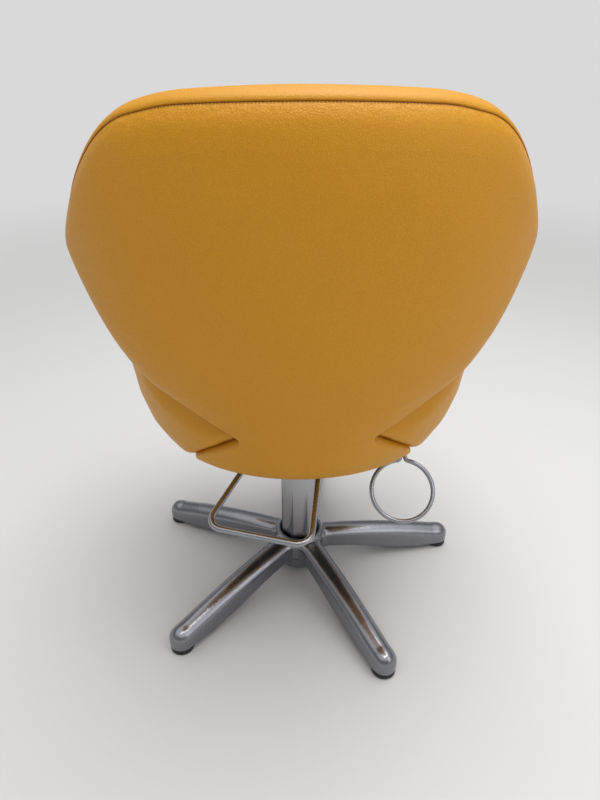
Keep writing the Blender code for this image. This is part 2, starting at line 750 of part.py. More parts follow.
def pedal_parts(chrome, steel, frame):
    """Shaft, collars, cam and stirrup that turn together."""
    end = PEDAL_LUG_OUTER + RUN_GAP + PEDAL_COLLAR_WIDTH
    shaft = turn_to_x(cylinder(PEDAL_SHAFT_RADIUS, -end, end, FINE_ROUND))
    place("pedal_shaft", shaft, steel, frame)
    for name, sign in (("left", -1.0), ("right", 1.0)):
        centre = sign * (PEDAL_LUG_OUTER + RUN_GAP + PEDAL_COLLAR_WIDTH / 2)
        pedal_collar(f"pedal_collar_{name}", centre, steel, frame)
    pedal_cam(steel, frame)
    pedal_stirrup(chrome, frame)


def pedal_collar(name, centre, surface, frame):
    """Clamp collar on one end of the shaft, drilled for the stirrup's rod."""
    half = PEDAL_COLLAR_WIDTH / 2
    bore = PEDAL_SHAFT_RADIUS + REST_GAP
    rim = PEDAL_COLLAR_RADIUS
    edge = PEDAL_COLLAR_EDGE
    profile = ((rim - edge, -half), (rim, edge - half), (rim, half - edge), (rim - edge, half),
               (bore, half), (bore, -half))
    collar = turn_to_x(turned(profile, FINE_ROUND, tube=True))
    return place(name, shift(collar, (centre, 0, 0)), surface, frame)


def pedal_cam(surface, frame):
    """Finger between the lugs that pushes the pump plunger down."""
    half = PEDAL_LUG_INNER - 2 * RUN_GAP
    bore = PEDAL_SHAFT_RADIUS + REST_GAP
    profile = ((CAM_RADIUS, -half), (CAM_RADIUS, half), (bore, half), (bore, -half))
    cam = place("pedal_cam", turn_to_x(turned(profile, FINE_ROUND, tube=True)), surface, frame)
    root = (bore + CAM_RADIUS) / 2
    blade = box((-CAM_FINGER_HALF, root, -CAM_FINGER_DROP), (CAM_FINGER_HALF, CAM_FINGER_END, CAM_FINGER_TOP))
    finger = place("cam_finger", blade, None, frame)
    combine(cam, finger, "UNION")
    return cam


def stirrup_corners():
    """Corner points of the bent rod, from one collar to the other."""
    foot_half = PEDAL_LUG_OUTER + RUN_GAP + PEDAL_COLLAR_WIDTH / 2
    bar_reach = STIRRUP_BAR_REACH - PEDAL_SHAFT_REACH
    foot = Vector((foot_half, 0.0, 0.0))
    bar = Vector((STIRRUP_BAR_HALF, bar_reach, -STIRRUP_BAR_DROP))
    rod = (bar - foot).normalized()
    clear = PEDAL_COLLAR_RADIUS + REST_GAP + STIRRUP_ROD_RADIUS * abs(rod.x)
    start = foot + rod * clear / sqrt(1.0 - rod.x ** 2)
    mirror = Matrix.Scale(-1.0, 3, Vector((1.0, 0.0, 0.0)))
    return [start, bar, mirror @ bar, mirror @ start]


def pedal_stirrup(surface, frame):
    """Round bar bent into the stirrup that the foot presses."""
    path = rounded_path(stirrup_corners(), STIRRUP_BEND)
    return wire("pedal_stirrup", path, STIRRUP_ROD_RADIUS, surface, frame)


def pump_plunger(surface, frame):
    """Domed plunger under the pedal's cam."""
    low = PLUNGER_FOOT - PEDAL_SHAFT_HEIGHT
    top = -CAM_FINGER_DROP - REST_GAP
    profile = [(PLUNGER_RADIUS, low)]
    for part in (1.0, 0.75, 0.4, 0.15):
        profile.append((PLUNGER_RADIUS * part, top - PLUNGER_DOME * part * part))
    bm = shift(turned(profile, FINE_ROUND), (0, PLUNGER_ARM, 0))
    return place("pump_plunger", bm, surface, frame)


# Swivel lock, in its own frame: X along the pin, +Y out to the ring

def lock_parts(chrome, steel, frame):
    """Pin, hub and wire ring of the swivel lock lever."""
    reach = LOCK_HUB_WIDTH / 2 + RUN_GAP + LOCK_EAR_THICKNESS
    place("lock_pin", turn_to_x(cylinder(LOCK_PIN_RADIUS, -reach, reach, FINE_ROUND)), steel, frame)
    half = LOCK_HUB_WIDTH / 2
    bore = LOCK_PIN_RADIUS + REST_GAP
    profile = ((LOCK_HUB_RADIUS, -half), (LOCK_HUB_RADIUS, half), (bore, half), (bore, -half))
    place("lock_hub", turn_to_x(turned(profile, FINE_ROUND, tube=True)), steel, frame)
    lock_ring(chrome, frame)


def ring_curve(offset):
    """Half of the wire's ring in its own plane, from the shank round to the lowest point."""
    centre_x = offset + RING_NECK_FILLET
    reach = RING_RADIUS + RING_NECK_FILLET
    centre_y = sqrt(reach ** 2 - centre_x ** 2)
    turn_in = atan2(centre_y, centre_x)
    points = []
    for step in range(NECK_STEPS):
        turn = pi + turn_in * step / NECK_STEPS
        points.append((centre_x + RING_NECK_FILLET * cos(turn), centre_y + RING_NECK_FILLET * sin(turn)))
    for step in range(RING_STEPS + 1):
        turn = mix(turn_in, -pi / 2, step / RING_STEPS)
        points.append((RING_RADIUS * cos(turn), RING_RADIUS * sin(turn)))
    return points


def lock_ring(surface, frame):
    """Bent wire: a shank from the hub, a ring, and the wire's end turned up beside the shank."""
    pivot = bearing_vector(LOCK_BEARING) * LOCK_PIVOT_REACH + Vector((0, 0, LOCK_PIVOT_HEIGHT))
    fall = RING_FALL.normalized()
    across = fall.cross(Vector((0, 0, 1))).normalized()
    neck = Vector((*RING_NECK_SPOT, LOCK_PIVOT_HEIGHT - RING_NECK_DROP))
    centre = neck + fall * RING_RADIUS
    offset = RING_WIRE_RADIUS + RING_NECK_GAP / 2
    half = ring_curve(offset)
    first = [centre + across * x - fall * y for x, y in half]
    second = [centre - across * x - fall * y for x, y in reversed(half[:-1])]
    bend = neck - fall * RING_SHANK_LENGTH + across * offset
    start = pivot + (bend - pivot).normalized() * (LOCK_HUB_RADIUS + 3 * REST_GAP)
    path = rounded_path([start, bend, first[0]], RING_BEND)[:-1] + first + second
    path.append(bend - across * 2 * offset + fall * RING_BEND)
    local = Matrix.Rotation(LOCK_BEARING, 3, "Z")
    path = [local @ (point - pivot) for point in path]
    return wire("lock_ring", path, RING_WIRE_RADIUS, surface, frame)


# Tub surface

def bowl_half_width(height):
    """Half width of the tub's outside at a height."""
    part = max(0.0, (TUB_SHOULDER - height) / (TUB_SHOULDER - UNDERSIDE))
    flare = ARM_FLARE * max(0.0, height - TUB_SHOULDER)
    return mix(TUB_FLOOR_HALF_WIDTH, TUB_HALF_WIDTH, sqrt(max(0.0, 1.0 - part * part))) + flare


def bowl_front(height):
    """Reach of the tub's outside toward the front at a height."""
    return mix(TUB_FLOOR_FRONT, TUB_FRONT, smoothstep(UNDERSIDE, TUB_SHOULDER, height))


def bowl_rear(height):
    """Reach of the tub's outside toward the rear at a height."""
    return max(profile_at(run_at_height(height))[0] - TUB_REAR_INSET, BOARD_REAR + TUB_FLOOR_MARGIN)


def oval_point(angle, half_width, rear, front):
    """Point of a plan oval: rear at +90 degrees, front at -90 degrees."""
    power = TUB_REAR_POWER if angle >= 0.0 else TUB_FRONT_POWER
    x = half_width * max(0.0, cos(angle)) ** (2.0 / power)
    y = abs(sin(angle)) ** (2.0 / power)
    return x, y * rear if angle >= 0.0 else -y * front


def bowl_point(angle, height, inset):
    """Point on the tub's left side, drawn in from its outer face."""
    x, y = oval_point(angle, bowl_half_width(height) - inset, bowl_rear(height) - inset,
                      bowl_front(height) - inset)
    return Vector((x, y, height))


def board_outline(grow, steps=10):
    """Plan of the seat board and of what fits round it."""
    angles = [pi / 2 * step / steps for step in range(-steps, steps + 1)]
    sizes = (BOARD_HALF_WIDTH + grow, BOARD_REAR + grow, BOARD_FRONT + grow)
    right = [oval_point(angle, *sizes) for angle in angles]
    return right + [(-x, y) for x, y in reversed(right[1:-1])]


def board_top():
    """Upper face of the seat board."""
    return PLATE_BOTTOM + PLATE_THICKNESS + REST_GAP + BOARD_THICKNESS


# Tub pieces

def arm_top(angle):
    """Height of the arm along the tub, lower where it tucks under the back."""
    height = mix(ARM_TOP_REAR, ARM_TOP_FRONT, smoothstep(0.0, -ARM_FRONT_ANGLE, -angle))
    return mix(height, ARM_TOP_TAIL, smoothstep(ARM_FALL_ANGLE, ARM_TAIL_ANGLE, angle))


def arm_section(angle, pinch):
    """Closed section of an arm: outer face up, over the roll, inner face down to the board."""
    shoulder = arm_top(angle) - pinch - ARM_ROLL
    half = ARM_THICKNESS / 2 - pinch
    points = []
    for part in (0.0, 0.035, 0.11, 0.24, 0.42, 0.62, 0.82, 1.0):
        points.append(bowl_point(angle, mix(UNDERSIDE, shoulder, part), pinch))
    for turn in (35.0, 65.0, 90.0, 115.0, 145.0):
        inset = pinch + half * (1.0 - cos(radians(turn)))
        points.append(bowl_point(angle, shoulder, inset) + Vector((0, 0, ARM_ROLL * sin(radians(turn)))))
    for part in (1.0, 0.7, 0.4, 0.15, 0.06, 0.0):
        points.append(bowl_point(angle, mix(board_top(), shoulder, part), ARM_THICKNESS - pinch))
    x, y = oval_point(angle, BOARD_HALF_WIDTH + SIDE_GAP, BOARD_REAR + SIDE_GAP, BOARD_FRONT + SIDE_GAP)
    points.append(Vector((x, y, board_top())))
    points.append(Vector((x, y, UNDERSIDE)))
    return points


def arm(name, mirror, surface, frame, cutters):
    """Padded tub side that runs from the front round under the back's wing."""
    rings = []
    for turn in (85.0, 60.0, 30.0):
        angle = ARM_FRONT_ANGLE - ARM_END_ANGLE * sin(radians(turn))
        rings.append(arm_section(angle, ARM_END_ROUND * (1.0 - cos(radians(turn)))))
    for step in range(ARM_STEPS + 1):
        rings.append(arm_section(mix(ARM_FRONT_ANGLE, ARM_TAIL_ANGLE, step / ARM_STEPS), 0.0))
    if mirror:
        rings = [[Vector((-point.x, point.y, point.z)) for point in ring] for ring in rings]
    piece = place(name, loft(rings), surface, frame, sharp=radians(60.0))
    for cutter in cutters:
        combine(piece, cutter, "DIFFERENCE")
    return piece


def seat_cushion(surface, frame, cutter):
    """Crowned cushion with drawn-in sides, cut to the back pad behind it."""
    low = board_top() + REST_GAP
    middle = mix(low, CUSHION_EDGE_TOP, 0.6)
    levels = [(low, CUSHION_FOOT_INSET), (low + CUSHION_FOOT_ROUND, 0.0), (middle, 0.0)]
    for turn in (0.0, 25.0, 45.0, 65.0, 90.0):
        height = mix(CUSHION_EDGE_TOP, CUSHION_CROWN, sin(radians(turn)))
        levels.append((height, mix(CUSHION_CROWN_INSET, CUSHION_EDGE_INSET, cos(radians(turn)))))
    rings = [cushion_ring(height, inset) for height, inset in levels]
    piece = place("seat_cushion", loft(rings), surface, frame, sharp=radians(60.0))
    combine(piece, cutter, "DIFFERENCE")
    return piece


def cushion_ring(height, inset):
    """Plan of the cushion at a height, kept clear of the arms."""
    level = min(height, CUSHION_EDGE_TOP)
    side = bowl_half_width(level) - ARM_THICKNESS - CUSHION_GAP - inset
    front = bowl_front(level) - ARM_THICKNESS - CUSHION_GAP - inset
    rear = bowl_rear(level) - ARM_THICKNESS - CUSHION_GAP - inset
    steps = 11
    angles = [pi / 2 * step / steps for step in range(-steps, steps + 1)]
    right = [oval_point(angle, side, rear, front) for angle in angles]
    outline = right + [(-x, y) for x, y in reversed(right[1:-1])]
    return [Vector((x, y, height)) for x, y in outline]


def front_rail(surface, frame):
    """Covered rail under the cushion's front edge, on the board's nose."""
    rear = -BOARD_FRONT - REST_GAP
    low = (-RAIL_HALF_WIDTH, rear - RAIL_THICKNESS, UNDERSIDE)
    rail = place("front_rail", box(low, (RAIL_HALF_WIDTH, rear, board_top())), surface, frame)
    bevel(rail, RAIL_EDGE, 3)
    return rail


# Seat carrier

def seat_board(surface, frame):
    """Plywood board that carries the tub."""
    top = board_top()
    low = top - BOARD_THICKNESS
    board = place("seat_board", prism(board_outline(0.0), low, top), surface, frame)
    hole = cylinder(SOCKET_NECK_RADIUS + SOCKET_CLEARANCE, low - CUT_OVERRUN, top + CUT_OVERRUN, ROUND)
    combine(board, place("board_hole", hole, None, frame), "DIFFERENCE")
    drill_bolts(board, "board", low - CUT_OVERRUN, low + BOLT_LENGTH - PLATE_THICKNESS + BOLT_TIP_GAP, frame)
    return board


def drill_bolts(piece, name, low, high, frame):
    """Four clearance holes on the mounting bolts' square."""
    for index, (x, y) in enumerate(bolt_places()):
        drill = cylinder(BOLT_RADIUS + REST_GAP, low, high, FINE_ROUND)
        hole = place(f"{name}_drill_{index + 1}", shift(drill, (x, y, 0)), None, frame)
        combine(piece, hole, "DIFFERENCE")


def bolt_places():
    """Plan positions of the mounting bolts."""
    half = BOLT_SPACING / 2
    return [(x, y) for x in (-half, half) for y in (-half, half)]


def mount_plate(surface, frame):
    """Steel plate between the swivel socket and the board."""
    half = PLATE_SIZE / 2
    top = PLATE_BOTTOM + PLATE_THICKNESS
    plate = place("mount_plate", box((-half, -half, PLATE_BOTTOM), (half, half, top)), surface, frame)
    hole = cylinder(SOCKET_NECK_RADIUS + REST_GAP, PLATE_BOTTOM - CUT_OVERRUN, top + CUT_OVERRUN, ROUND)
    combine(plate, place("plate_hole", hole, None, frame), "DIFFERENCE")
    drill_bolts(plate, "plate", PLATE_BOTTOM - CUT_OVERRUN, top + CUT_OVERRUN, frame)
    return plate


def mount_bolts(surface, frame):
    """Four bolts up through the plate into the board."""
    top = PLATE_BOTTOM - REST_GAP
    low = top - BOLT_HEAD_HEIGHT
    profile = ((BOLT_HEAD_RADIUS, low), (BOLT_HEAD_RADIUS, top),
               (BOLT_RADIUS, top), (BOLT_RADIUS, top + BOLT_LENGTH))
    for index, (x, y) in enumerate(bolt_places()):
        bolt = place(f"mount_bolt_{index + 1}", turned(profile, FINE_ROUND), surface, frame)
        bolt.location = (x, y, 0.0)


def swivel_socket(surface, frame):
    """Flanged cup that turns on the ram's spigot."""
    low = RAM_SHOULDER + THRUST_WASHER_HEIGHT + 2 * REST_GAP
    flange_top = PLATE_BOTTOM - REST_GAP
    flange_low = flange_top - SOCKET_FLANGE_THICKNESS
    bore = SPIGOT_RADIUS + RUN_GAP
    roof = RAM_SHOULDER + SPIGOT_LENGTH + 2 * RUN_GAP
    profile = ((bore, roof), (bore, low), (SOCKET_NECK_RADIUS, low), (SOCKET_NECK_RADIUS, flange_low),
               (SOCKET_FLANGE_RADIUS, flange_low), (SOCKET_FLANGE_RADIUS, flange_top),
               (SOCKET_NECK_RADIUS, flange_top), (SOCKET_NECK_RADIUS, roof + SOCKET_ROOF))
    return place("swivel_socket", turned(profile, ROUND), surface, frame)


def bottom_cover(surface, frame, cutter):
    """Thin dust cover under the tub, open round the swivel socket."""
    top = UNDERSIDE + COVER_THICKNESS
    cover = place("bottom_cover", prism(board_outline(0.0), UNDERSIDE, top), surface, frame)
    hole = cylinder(SOCKET_NECK_RADIUS + SOCKET_CLEARANCE, UNDERSIDE - CUT_OVERRUN, top + CUT_OVERRUN, ROUND)
    combine(cover, place("cover_hole", hole, None, frame), "DIFFERENCE")
    combine(cover, cutter, "DIFFERENCE")
    return cover


# Shield back surface

PROFILE_SPANS = 24


def back_profile():
    """Centre line of the back's rear face, from under the seat up to the top edge."""
    points = ((TAIL_END, UNDERSIDE + TAIL_LIFT), (TAIL_BEND_REACH, UNDERSIDE + TAIL_BEND_LIFT), *BACK_LINE,
              (BACK_REACH, BACK_REACH_HEIGHT), (BACK_REACH - BACK_TOP_LEAN, BACK_TOP))
    return np.array([tuple(point) for point in smooth_curve(points, PROFILE_SPANS)])


PROFILE = back_profile()
PROFILE_RUN = np.concatenate(([0.0], np.cumsum(np.hypot(*np.diff(PROFILE, axis=0).T))))


def profile_at(run):
    """Reach and height of the centre line after a run along it."""
    if run > PROFILE_RUN[-1]:
        over = run - PROFILE_RUN[-1]
        return PROFILE[-1][0], PROFILE[-1][1] + over
    if run < 0.0:
        return PROFILE[0][0] + run, PROFILE[0][1]
    return np.interp(run, PROFILE_RUN, PROFILE[:, 0]), np.interp(run, PROFILE_RUN, PROFILE[:, 1])


def run_at_height(height):
    """Run along the centre line up to a height."""
    return float(np.interp(height, PROFILE[:, 1], PROFILE_RUN))


def wrap_at(height):
    """Half axes of the oval that the back wraps round at a height."""
    part = smoothstep(WRAP_LOW_HEIGHT, WRAP_HIGH_HEIGHT, height)
    return mix(WRAP_LOW[0], WRAP_HIGH[0], part), mix(WRAP_LOW[1], WRAP_HIGH[1], part)


def rear_face(x, run):
    """Point on the back's rear face."""
    reach, height = profile_at(run)
    wide, deep = wrap_at(height)
    flat = sqrt(max(WRAP_LIMIT, 1.0 - (x / wide) ** 2))
    return Vector((x, reach - deep * (1.0 - flat), height))


def shell_point(x, run, depth):
    """Point inside the back, at a depth square to its rear face."""
    across = rear_face(x + SURFACE_STEP, run) - rear_face(x - SURFACE_STEP, run)
    along = rear_face(x, run + SURFACE_STEP) - rear_face(x, run - SURFACE_STEP)
    return rear_face(x, run) + across.cross(along).normalized() * depth


def side_scale(x, run):
    """Width in plan for each unit of length round the wrap."""
    span = rear_face(x + SURFACE_STEP, run) - rear_face(x - SURFACE_STEP, run)
    return 2 * SURFACE_STEP / span.length


def rear_pad_depth(run):
    """Thickness of the rear pad, thin where its tail goes under the seat."""
    full = run_at_height(TAIL_FULL_HEIGHT)
    return mix(TAIL_PAD_DEPTH, REAR_PAD_DEPTH, smoothstep(TAIL_THIN_RUN, full, run))


def front_depth(run):
    """Depth of the back's front face, deeper where it goes down behind the seat."""
    part = smoothstep(BACK_TIP_HEIGHT, FRONT_PAD_FOOT_TOP, profile_at(run)[1])
    return mix(FRONT_PAD_FOOT_DEPTH, FRONT_PAD_DEPTH, part)


# Shield outlines, as (half width, run) points from the bottom up

def wing_side():
    """Edge of the shield from its waist tip up to the top corner."""
    low_edge = [(half, BACK_TIP_HEIGHT + rise) for half, rise in WING_LOW_EDGE]
    points = [(BACK_TIP_HALF_WIDTH + TIP_ROUND, BACK_TIP_HEIGHT + TIP_ROUND), *low_edge,
              (BACK_HALF_WIDTH, BACK_WIDE_HEIGHT)]
    points += [(half, BACK_TOP - drop) for half, drop in WING_TOP_EDGE]
    return [(half, run_at_height(height)) for half, height in points]


def tail_side():
    """Edge of the tail from its end under the seat up to the waist."""
    edge = [(half, mix(UNDERSIDE, BACK_TIP_HEIGHT, part)) for half, part in TAIL_EDGE]
    points = [*edge, (BACK_TIP_HALF_WIDTH + TIP_ROUND, BACK_TIP_HEIGHT - TIP_ROUND),
              (BACK_TIP_HALF_WIDTH, BACK_TIP_HEIGHT)]
    low = [(TAIL_HALF_WIDTH, 0.0), TAIL_BELLY]
    return low + [(half, run_at_height(height)) for half, height in points]


def closed_outline(side, across, steps):
    """Loop from a right-hand edge: bottom, right, top, left."""
    right = [tuple(point) for point in smooth_curve(side, steps)]
    low = right[0]
    high = right[-1]
    crest = run_at_height(BACK_TOP)
    parts = [index / across for index in range(across)]
    bottom = [(mix(-low[0], low[0], part), low[1]) for part in parts]
    top = [(mix(high[0], -high[0], part), mix(high[1], crest, 1.0 - (2 * part - 1) ** 2)) for part in parts]
    left = [(-x, run) for x, run in reversed(right)]
    return bottom + right[:-1] + top + left[:-1]


def inset_outline(loop, distance):
    """Loop drawn in by a distance measured on the surface."""
    count = len(loop)
    result = []
    for index, (x, run) in enumerate(loop):
        before = Vector(loop[index - 1])
        after = Vector(loop[(index + 1) % count])
        tangent = (after - before).normalized()
        inset = distance(run)
        result.append((x - tangent.y * inset * side_scale(x, run), run + tangent.x * inset))
    return result


def padded_solid(loop, across, layers):
    """Solid through a stack of (inset, depth) layers of one outline, filled at both ends."""
    bm = bmesh.new()
    rings = []
    for inset, depth in layers:
        points = inset_outline(loop, inset)
        rings.append((points, [bm.verts.new(shell_point(x, run, depth(run))) for x, run in points]))
    for (_, first), (_, second) in zip(rings, rings[1:]):
        bridge(bm, first, second)
    for (points, verts), (_, depth) in ((rings[0], layers[0]), (rings[-1], layers[-1])):
        fill_patch(bm, points, verts, across, depth)
    return bm


def fill_patch(bm, points, verts, across, depth):
    """Grid of quads inside one ring, following the curved surface."""
    count = len(points)
    tall = count // 2 - across
    corner = (0, across, across + tall, 2 * across + tall)
    flat = [Vector(point) for point in points]

    def spot(column, row):
        s = column / across
        t = row / tall
        low = flat[column]
        high = flat[corner[2] + across - column]
        left = flat[(count - row) % count]
        right = flat[corner[1] + row]
        corners = mix(mix(flat[0], flat[corner[1]], s), mix(flat[corner[3]], flat[corner[2]], s), t)
        return mix(low, high, t) + mix(left, right, s) - corners

    def vertex(column, row):
        if row == 0:
            return verts[column]
        if row == tall:
            return verts[corner[2] + across - column]
        if column == 0:
            return verts[count - row]
        if column == across:
            return verts[corner[1] + row]
        x, run = spot(column, row)
        return bm.verts.new(shell_point(x, run, depth(run)))

    grid = [[vertex(column, row) for column in range(across + 1)] for row in range(tall + 1)]
    for row in range(tall):
        for column in range(across):
            bm.faces.new((grid[row][column], grid[row][column + 1],
                          grid[row + 1][column + 1], grid[row + 1][column]))


# Shield back pieces

ACROSS_BACK = 10
EDGE_STEPS = 2


def steady(value):
    """Inset or depth that is the same all round."""
    return lambda run: value


def seam_inset(share, extra):
    """Inset in step with the rear seam, which goes out to the edge on the lower wings."""
    def inset(run):
        part = smoothstep(SEAM_EDGE_HEIGHT, SEAM_FULL_HEIGHT, profile_at(run)[1])
        return mix(EDGE_SEAM_INSET, BACK_SEAM_INSET, part) * share + extra
    return inset


def face_inset(full):
    """Inset of the rear face's rounding, which dies out along the tail."""
    return lambda run: mix(full / 5, full, smoothstep(0.0, run_at_height(BACK_TIP_HEIGHT), run))


def border_inset(share, extra):
    """Inset of the border's rounding, which is tighter along the foot behind the seat."""
    low = run_at_height(BACK_TIP_HEIGHT)
    high = run_at_height(FOOT_ROUND_TOP)
    return lambda run: mix(FOOT_ROUND, BORDER_ROUND, smoothstep(low, high, run)) * share + extra


def border_depth(share, extra):
    """Depth of one layer of the border."""
    return lambda run: front_depth(run) * share + extra


def border_layers(grow):
    """Layers of the border and the front face, from the mid edge forward."""
    layers = []
    for turn in (0.0, 22.0, 44.0, 64.0, 90.0):
        inset = border_inset(1.0 - cos(radians(turn)), -grow)
        layers.append((inset, border_depth(mix(0.5, 1.0, sin(radians(turn))), grow)))
    return layers


def rear_layers(grow):
    """Layers of the rear pad, from its rear face to its face on the frame."""
    return [(face_inset(REAR_FACE_INSET), steady(0.0)),
            (face_inset(REAR_CREST_INSET), lambda run: rear_pad_depth(run) * 0.15),
            (seam_inset(1.0, -grow), lambda run: min(BACK_SEAM_DEPTH, rear_pad_depth(run) * 0.6)),
            (seam_inset(1.0, REAR_DRAFT - grow), lambda run: rear_pad_depth(run) * 0.9 + grow),
            (seam_inset(1.0, REAR_HEM - grow), lambda run: rear_pad_depth(run) + grow)]


def back_rear_pad(surface, frame):
    """Smooth rear panel with the tail that runs under the seat."""
    loop = closed_outline(tail_side() + wing_side(), ACROSS_BACK, EDGE_STEPS)
    bm = padded_solid(loop, ACROSS_BACK, rear_layers(0.0))
    return place("back_rear_pad", bm, surface, frame, sharp=radians(60.0))


def front_loop():
    """Outline of the front pad, closed straight across behind the seat."""
    return closed_outline(wing_side(), ACROSS_BACK, EDGE_STEPS)


def frame_face():
    """Depth of the frame's front face."""
    return REAR_PAD_DEPTH + LINING_GAP + FRAME_THICKNESS


def back_front_pad(surface, frame, cutters):
    """Front cushion of the back with the border that wraps round the frame's edge."""
    inner = steady(REAR_PAD_DEPTH + LINING_GAP)
    pocket = steady(frame_face() + SEAM_GAP)
    rim = steady(FRAME_INSET - SEAM_GAP)
    hem = seam_inset(1.0, -SEAM_GAP)
    layers = [(rim, pocket), (rim, inner), (hem, inner), (hem, steady(BACK_SEAM_DEPTH + SEAM_GAP)),
              (seam_inset(0.55, 0.0), steady(BACK_SEAM_DEPTH + BORDER_LIP)),
              (seam_inset(0.18, 0.0), lambda run: mix(BACK_SEAM_DEPTH, front_depth(run), 0.22))]
    layers += border_layers(0.0)
    bm = padded_solid(front_loop(), ACROSS_BACK, layers)
    piece = place("back_front_pad", bm, surface, frame, sharp=radians(60.0))
    for cutter in cutters:
        combine(piece, cutter, "DIFFERENCE")
    return piece


def back_frame(surface, frame):
    """Bent plywood sheet between the two pads."""
    near = steady(REAR_PAD_DEPTH + LINING_GAP)
    rim = steady(FRAME_INSET)
    bm = padded_solid(front_loop(), ACROSS_BACK, [(rim, near), (rim, steady(frame_face()))])
    return place("back_frame", bm, surface, frame)


def strap_rings(grow):
    """Sections of a back strap, or of a slot as deep as the rear pad's face, from top to toe."""
    near = STRAP_INNER - grow
    far = STRAP_INNER + STRAP_WIDTH + grow
    face = frame_face() + STRAP_GAP
    low = REAR_PAD_DEPTH if grow else face
    high = face + STRAP_THICKNESS + grow
    rings = []
    corners = ((near, low), (far, low), (far, high), (near, high))
    for height in (STRAP_TOP + grow, *STRAP_HEIGHTS):
        run = run_at_height(height)
        rings.append([shell_point(x, run, depth) for x, depth in corners])
    half = STRAP_THICKNESS / 2
    level = PLATE_BOTTOM + PLATE_THICKNESS - half
    bends = ((STRAP_BEND, STRAP_BEND_LEAN), ((STRAP_FOOT, level), STRAP_FOOT_LEAN), ((STRAP_TOE, level), 0.0))
    for centre, lean in bends:
        rings.append(strap_bend(near, far, Vector(centre), half + grow, lean))
    return rings


def strap_bend(near, far, centre, half, lean):
    """Section of the strap's lower bend, leaning from level to upright."""
    out = Vector((sin(lean), -cos(lean))) * half
    rear = centre + out
    front = centre - out
    return [Vector((near, *rear)), Vector((far, *rear)), Vector((far, *front)), Vector((near, *front))]


def strap_shape(mirror, grow):
    """Flat steel strap that carries the back's frame on the seat board, or the slot that it needs."""
    rings = strap_rings(grow)
    if mirror:
        rings = [[Vector((-point.x, point.y, point.z)) for point in ring] for ring in rings]
    return loft(rings)


def rear_space(name, grow, frame):
    """Space that the rear pad takes up, open to the rear, with a gap all round."""
    loop = closed_outline(tail_side() + wing_side(), ACROSS_BACK, EDGE_STEPS)
    layers = [(seam_inset(1.0, -grow), steady(-CUTTER_REACH))] + rear_layers(grow)[3:]
    return place(name, padded_solid(loop, ACROSS_BACK, layers), None, frame)


def front_space(name, grow, frame):
    """Space that the front pad and its border take up, with a gap all round."""
    layers = [(steady(-grow), steady(-CUTTER_REACH))] + border_layers(grow)
    return place(name, padded_solid(front_loop(), ACROSS_BACK, layers), None, frame)


# Assembly

def clear_scene():
    """Remove what the scene holds."""
    for item in list(bpy.data.objects):
        bpy.data.objects.remove(item, do_unlink=True)


def build_base(metal, steel, black):
    """Pieces that stand still."""
    base_star(metal)
    foot_glides(black)
    tie_bolt(steel)
    column_sleeve(metal)
    pump_cylinder(steel)
    column_cap(black)
    pump_head(steel)


def build_seat(vinyl, steel, wood, black, frame):
    """Pieces that rise and turn with the seat."""
    swivel_socket(steel, frame)
    mount_plate(steel, frame)
    mount_bolts(steel, frame)
    seat_board(wood, frame)
    rear_fit = rear_space("rear_fit", FIT_GAP, frame)
    front_fit = front_space("front_fit", FIT_GAP, frame)
    seam_fit = rear_space("seam_fit", SEAM_GAP, frame)
    bottom_cover(black, frame, rear_fit)
    front_rail(vinyl, frame)
    arm("arm_left", False, vinyl, frame, (rear_fit, front_fit))
    arm("arm_right", True, vinyl, frame, (rear_fit, front_fit))
    seat_cushion(vinyl, frame, front_fit)
    back_rear_pad(vinyl, frame)
    back_frame(wood, frame)
    slots = [seam_fit]
    for name, mirror in (("left", False), ("right", True)):
        place(f"back_strap_{name}", strap_shape(mirror, 0.0), steel, frame)
        slots.append(place(f"strap_slot_{name}", strap_shape(mirror, SEAM_GAP), None, frame))
    back_front_pad(vinyl, frame, slots)


def main():
    """Build the chair."""
    clear_scene()
    metal = material("polished_aluminium", (0.62, 0.62, 0.63), 0.22, 1.0)
    chrome = material("chromed_rod", (0.75, 0.75, 0.76), 0.12, 1.0)
    steel = material("plated_steel", (0.45, 0.45, 0.46), 0.35, 1.0)
    black = material("black_plastic", (0.02, 0.02, 0.02), 0.5)
    wood = material("plywood", (0.55, 0.40, 0.24), 0.7)
    vinyl = material("mustard_vinyl", (0.52, 0.24, 0.03), 0.5)
    build_base(metal, steel, black)
    shaft = bearing_vector(PEDAL_BEARING) * PEDAL_SHAFT_REACH + Vector((0, 0, PEDAL_SHAFT_HEIGHT))
    pedal = joint_frame("pedal_axis", shaft, PEDAL_BEARING)
    pedal_parts(chrome, steel, pedal)
    pump_plunger(steel, joint_frame("plunger_axis", shaft, PEDAL_BEARING))
    pivot = bearing_vector(LOCK_BEARING) * LOCK_PIVOT_REACH + Vector((0, 0, LOCK_PIVOT_HEIGHT))
    lock_parts(chrome, steel, joint_frame("lock_axis", pivot, LOCK_BEARING))
    lift = joint_frame("lift_axis", (0, 0, seat_lift()))
    lift_ram(steel, lift)
    thrust_washer(black, lift)
    seat = joint_frame("swivel_axis", (0, 0, 0))
    seat.parent = lift
    build_seat(vinyl, steel, wood, black, seat)


main()
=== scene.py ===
"""Finish of a hydraulic salon chair: padded vinyl, seams, polished casting, levers and a plain stage.

Metres, +Z up; the sitter faces -Y, so +Y is the chair's rear. The file is laid out as an add-on and is run
as a script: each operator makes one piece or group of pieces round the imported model.
"""

import json
from math import atan2, cos, pi, radians, sin, sqrt, tan

import bmesh
import bpy
import numpy as np
from mathutils import Matrix, Vector
from mathutils.bvhtree import BVHTree
from mathutils.kdtree import KDTree

